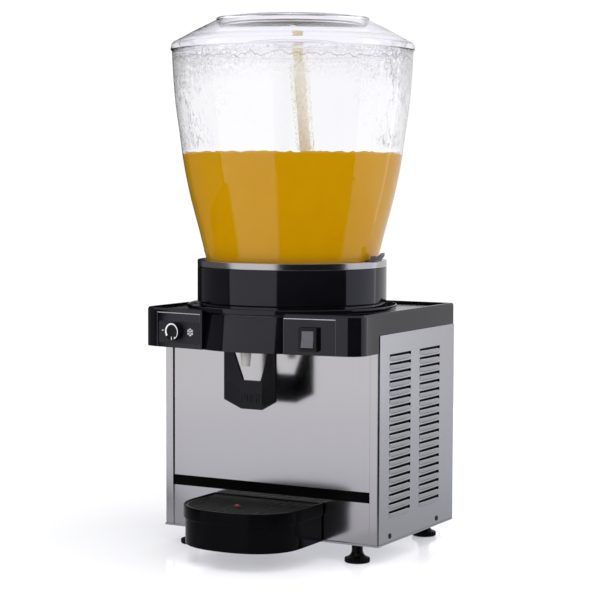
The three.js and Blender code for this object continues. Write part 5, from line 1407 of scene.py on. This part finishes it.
dressed("pump_cover", paleMoulding, 0.5, 3, 40)
dressed("impeller", paleMoulding, 0.3)
dressed("drive_magnet", magnetGrey, 0.4)
dressed("drive_motor", potBlack, 0.6)
dressed("compressor", potBlack, 1.2, 3, 50)
dressed("condenser", finnedAluminium, 0.2)
dressed("fan_shroud", galvanised, 0.5)
dressed("fan_motor", potBlack, 0.5)
dressed("fan_wheel", fanGrey, 0.4)
dressed("bowl_gasket", sealGrey, 0.6)
dressed("filter_drier", copper, 0.3, 2, 50)
paint("motor_bracket", galvanised)
paint("insulation", foamCream)
copperPipes = ("evaporator_coil", "discharge_pipe", "suction_pipe", "capillary")
for node in copperPipes:
    paint(node, copper)
for node in (*copperPipes, "feed_pipe", "plunger_spring"):
    frame["nodes"][node].data.shade_smooth()
print("inside is painted")

# floor, world and lamps; lengths in metres, azimuths in degrees with 0 in front and 90 at the right

studioValues = {
    "floorColour": (0.90, 0.90, 0.915),
    "floorReach": 1.6,
    "floorSides": 96,
    "glowColour": (0.95, 0.955, 1.0),
    "nearGlow": 0.34,  # the camera sees the floor glow this much more, near the object and far from it
    "farGlow": 0.62,
    "glowReach": (0.3, 1.2),
    "worldFill": 1.02,
    "darkGloss": 0.012,  # what reflections see where nothing below gives them a level
    "backdropAzimuth": 178,
    "backdropHalf": 30,
    "backdropGloss": 0.72,  # of the backdrop and of what is overhead
    "overhead": (0.45, 0.65),
    "leftAzimuth": -84,  # a dim grey wall on the left, seen in reflections only
    "leftHalf": 30,
    "leftGloss": 0.13,
    "wallSoft": 3,
    "mirrorNear": (0.42, 0.57, 0.45),  # reflections see the floor out to here, fading to here, at this level
    "sectorFade": (0.74, 0.3, 0.9),  # share of a sector's level close to the object; it grows between these
    "mirrorSectors": ((-16, 28, 0.83), (142, 45, 0.69)),  # azimuth, half width and level
    "sectorSoft": 2,
}


def emission(material, colour, strength):
    node = addNode(material, "ShaderNodeEmission")
    node.inputs["Color"].default_value = (*colour, 1)
    link(material, strength, node.inputs["Strength"])
    return node.outputs["Emission"]


def rayKinds(owner):
    # camera and transmission rays, which see the white background, and reflections outside clear walls
    path = addNode(owner, "ShaderNodeLightPath").outputs
    seen = larger(owner, path["Is Camera Ray"], path["Is Transmission Ray"])
    outside = mathOf(owner, "LESS_THAN", path["Transmission Depth"], 0.5)
    return seen, multiply(owner, path["Is Glossy Ray"], outside)


def makeFloor(v):
    size, sides = v["floorReach"], v["floorSides"]
    turns = [i / sides * math.tau for i in range(sides)]
    mesh = bpy.data.meshes.new("studio_floor")
    mesh.from_pydata([(math.sin(a) * size, -math.cos(a) * size, 0) for a in turns], [], [tuple(range(sides))])
    floor = bpy.data.objects.new("studio_floor", mesh)
    scene.collection.objects.link(floor)
    material, shader = startMaterial("floor_white", v["floorColour"], 0.12, specular=0.5)
    # the glow of the white backdrop grows away from the object, so that the floor has no edge
    place = objectPlace(material)
    length = addNode(material, "ShaderNodeVectorMath", operation="LENGTH")
    link(material, place, length.inputs[0])
    distance = length.outputs["Value"]
    seen, isMirrored = rayKinds(material)
    glow = ranged(material, distance, v["nearGlow"], v["farGlow"], *v["glowReach"])
    both = addNode(material, "ShaderNodeAddShader")
    link(material, shader.outputs["BSDF"], both.inputs[0])
    link(material, emission(material, v["glowColour"], multiply(material, seen, glow)), both.inputs[1])
    # reflections see a plain level near the object and in the sectors, and nearly black elsewhere
    start, end, near = v["mirrorNear"]
    level = ranged(material, distance, near, v["darkGloss"], start, end)
    least, *growth = v["sectorFade"]
    for azimuth, half, bright in v["mirrorSectors"]:
        cosine = mathOf(material, "DIVIDE", towards(material, place, azimuth), distance)
        sector = ranged(material, cosine, v["darkGloss"], bright, *sectorEdge(half, v["sectorSoft"]))
        fade = ranged(material, distance, least, 1.0, *growth)
        level = larger(material, multiply(material, sector, fade), level)
    showMixed(material, isMirrored, both.outputs["Shader"], emission(material, v["glowColour"], level))
    mesh.materials.append(material)


def makeWorld(v):
    world = bpy.data.worlds.new("studio")
    scene.world = world
    world.use_nodes = True
    world.cycles.sampling_method = "NONE"
    world.node_tree.nodes.clear()
    x, y, z = axesOf(world, addNode(world, "ShaderNodeTexCoord").outputs["Generated"])
    flat = mathOf(world, "SQRT", plus(world, multiply(world, x, x), multiply(world, y, y)))

    def wall(azimuth, half, low, high):
        # an upright stretch of the world, by its share of the level direction
        across, ahead, _ = levelDirection(azimuth)
        along = plus(world, multiply(world, x, across), multiply(world, y, ahead))
        cosine = mathOf(world, "DIVIDE", along, larger(world, flat, 0.001))
        return ranged(world, cosine, low, high, *sectorEdge(half, v["wallSoft"]), "SMOOTHSTEP")

    backdrop = wall(v["backdropAzimuth"], v["backdropHalf"], 0.0, 1.0)
    overhead = ranged(world, z, 0.0, 1.0, *v["overhead"], "SMOOTHSTEP")
    pale = larger(world, backdrop, overhead)
    leftWall = wall(v["leftAzimuth"], v["leftHalf"], v["darkGloss"], v["leftGloss"])
    bright = ranged(world, pale, v["darkGloss"], v["backdropGloss"], 0.0, 1.0, "SMOOTHSTEP")
    seen, isMirrored = rayKinds(world)
    plain = multiply(world, mathOf(world, "SUBTRACT", 1.0, isMirrored), v["worldFill"])
    shiny = multiply(world, isMirrored, larger(world, bright, leftWall))
    background = addNode(world, "ShaderNodeBackground")
    background.inputs["Color"].default_value = (1, 1, 1, 1)
    link(world, larger(world, seen, plus(world, plain, shiny)), background.inputs["Strength"])
    output = addNode(world, "ShaderNodeOutputWorld")
    link(world, background.outputs["Background"], output.inputs["Surface"])


# size is width and height; aim is the height over the origin that a lamp points at
softboxValues = {
    "softbox_front": {
        "azimuth": -19.4, "distance": 2.3, "height": 0.62, "size": (2.75, 2.3), "radiance": 0.88, "aim": 0.45,
        "colour": (1, 1, 1), "reflected": True,
    },
    "softbox_top": {
        "azimuth": 20, "distance": 0.9, "height": 2.3, "size": (2.0, 2.0), "radiance": 0.9, "aim": 0.3,
        "colour": (1, 1, 1), "reflected": False,
    },
    "softbox_fill": {
        "azimuth": 52, "distance": 2.6, "height": 0.9, "size": (2.0, 1.8), "radiance": 0.8, "aim": 0.4,
        "colour": (1, 1, 1), "reflected": False,
    },
    "softbox_right": {
        "azimuth": 122, "distance": 2.2, "height": 0.7, "size": (2.24, 2.0), "radiance": 0.86, "aim": 0.4,
        "colour": (0.93, 0.945, 1.0), "reflected": True,
    },
}


def addSoftbox(name, v):
    wide, tall = v["size"]
    data = bpy.data.lights.new(name, "AREA")
    data.shape = "RECTANGLE"
    data.size = wide
    data.size_y = tall
    data.energy = v["radiance"] * math.pi * wide * tall
    data.color = v["colour"]
    lamp = bpy.data.objects.new(name, data)
    scene.collection.objects.link(lamp)
    across, ahead, _ = levelDirection(v["azimuth"])
    lamp.location = (v["distance"] * across, axisY * mm + v["distance"] * ahead, v["height"])
    toward = Vector((0, 0, v["aim"])) - lamp.location
    lamp.rotation_euler = toward.to_track_quat("-Z", "Y").to_euler()
    lamp.visible_camera = False
    lamp.visible_transmission = False
    lamp.visible_glossy = v["reflected"]


makeFloor(studioValues)
makeWorld(studioValues)
for name, values in softboxValues.items():
    addSoftbox(name, values)
print("studio is set")
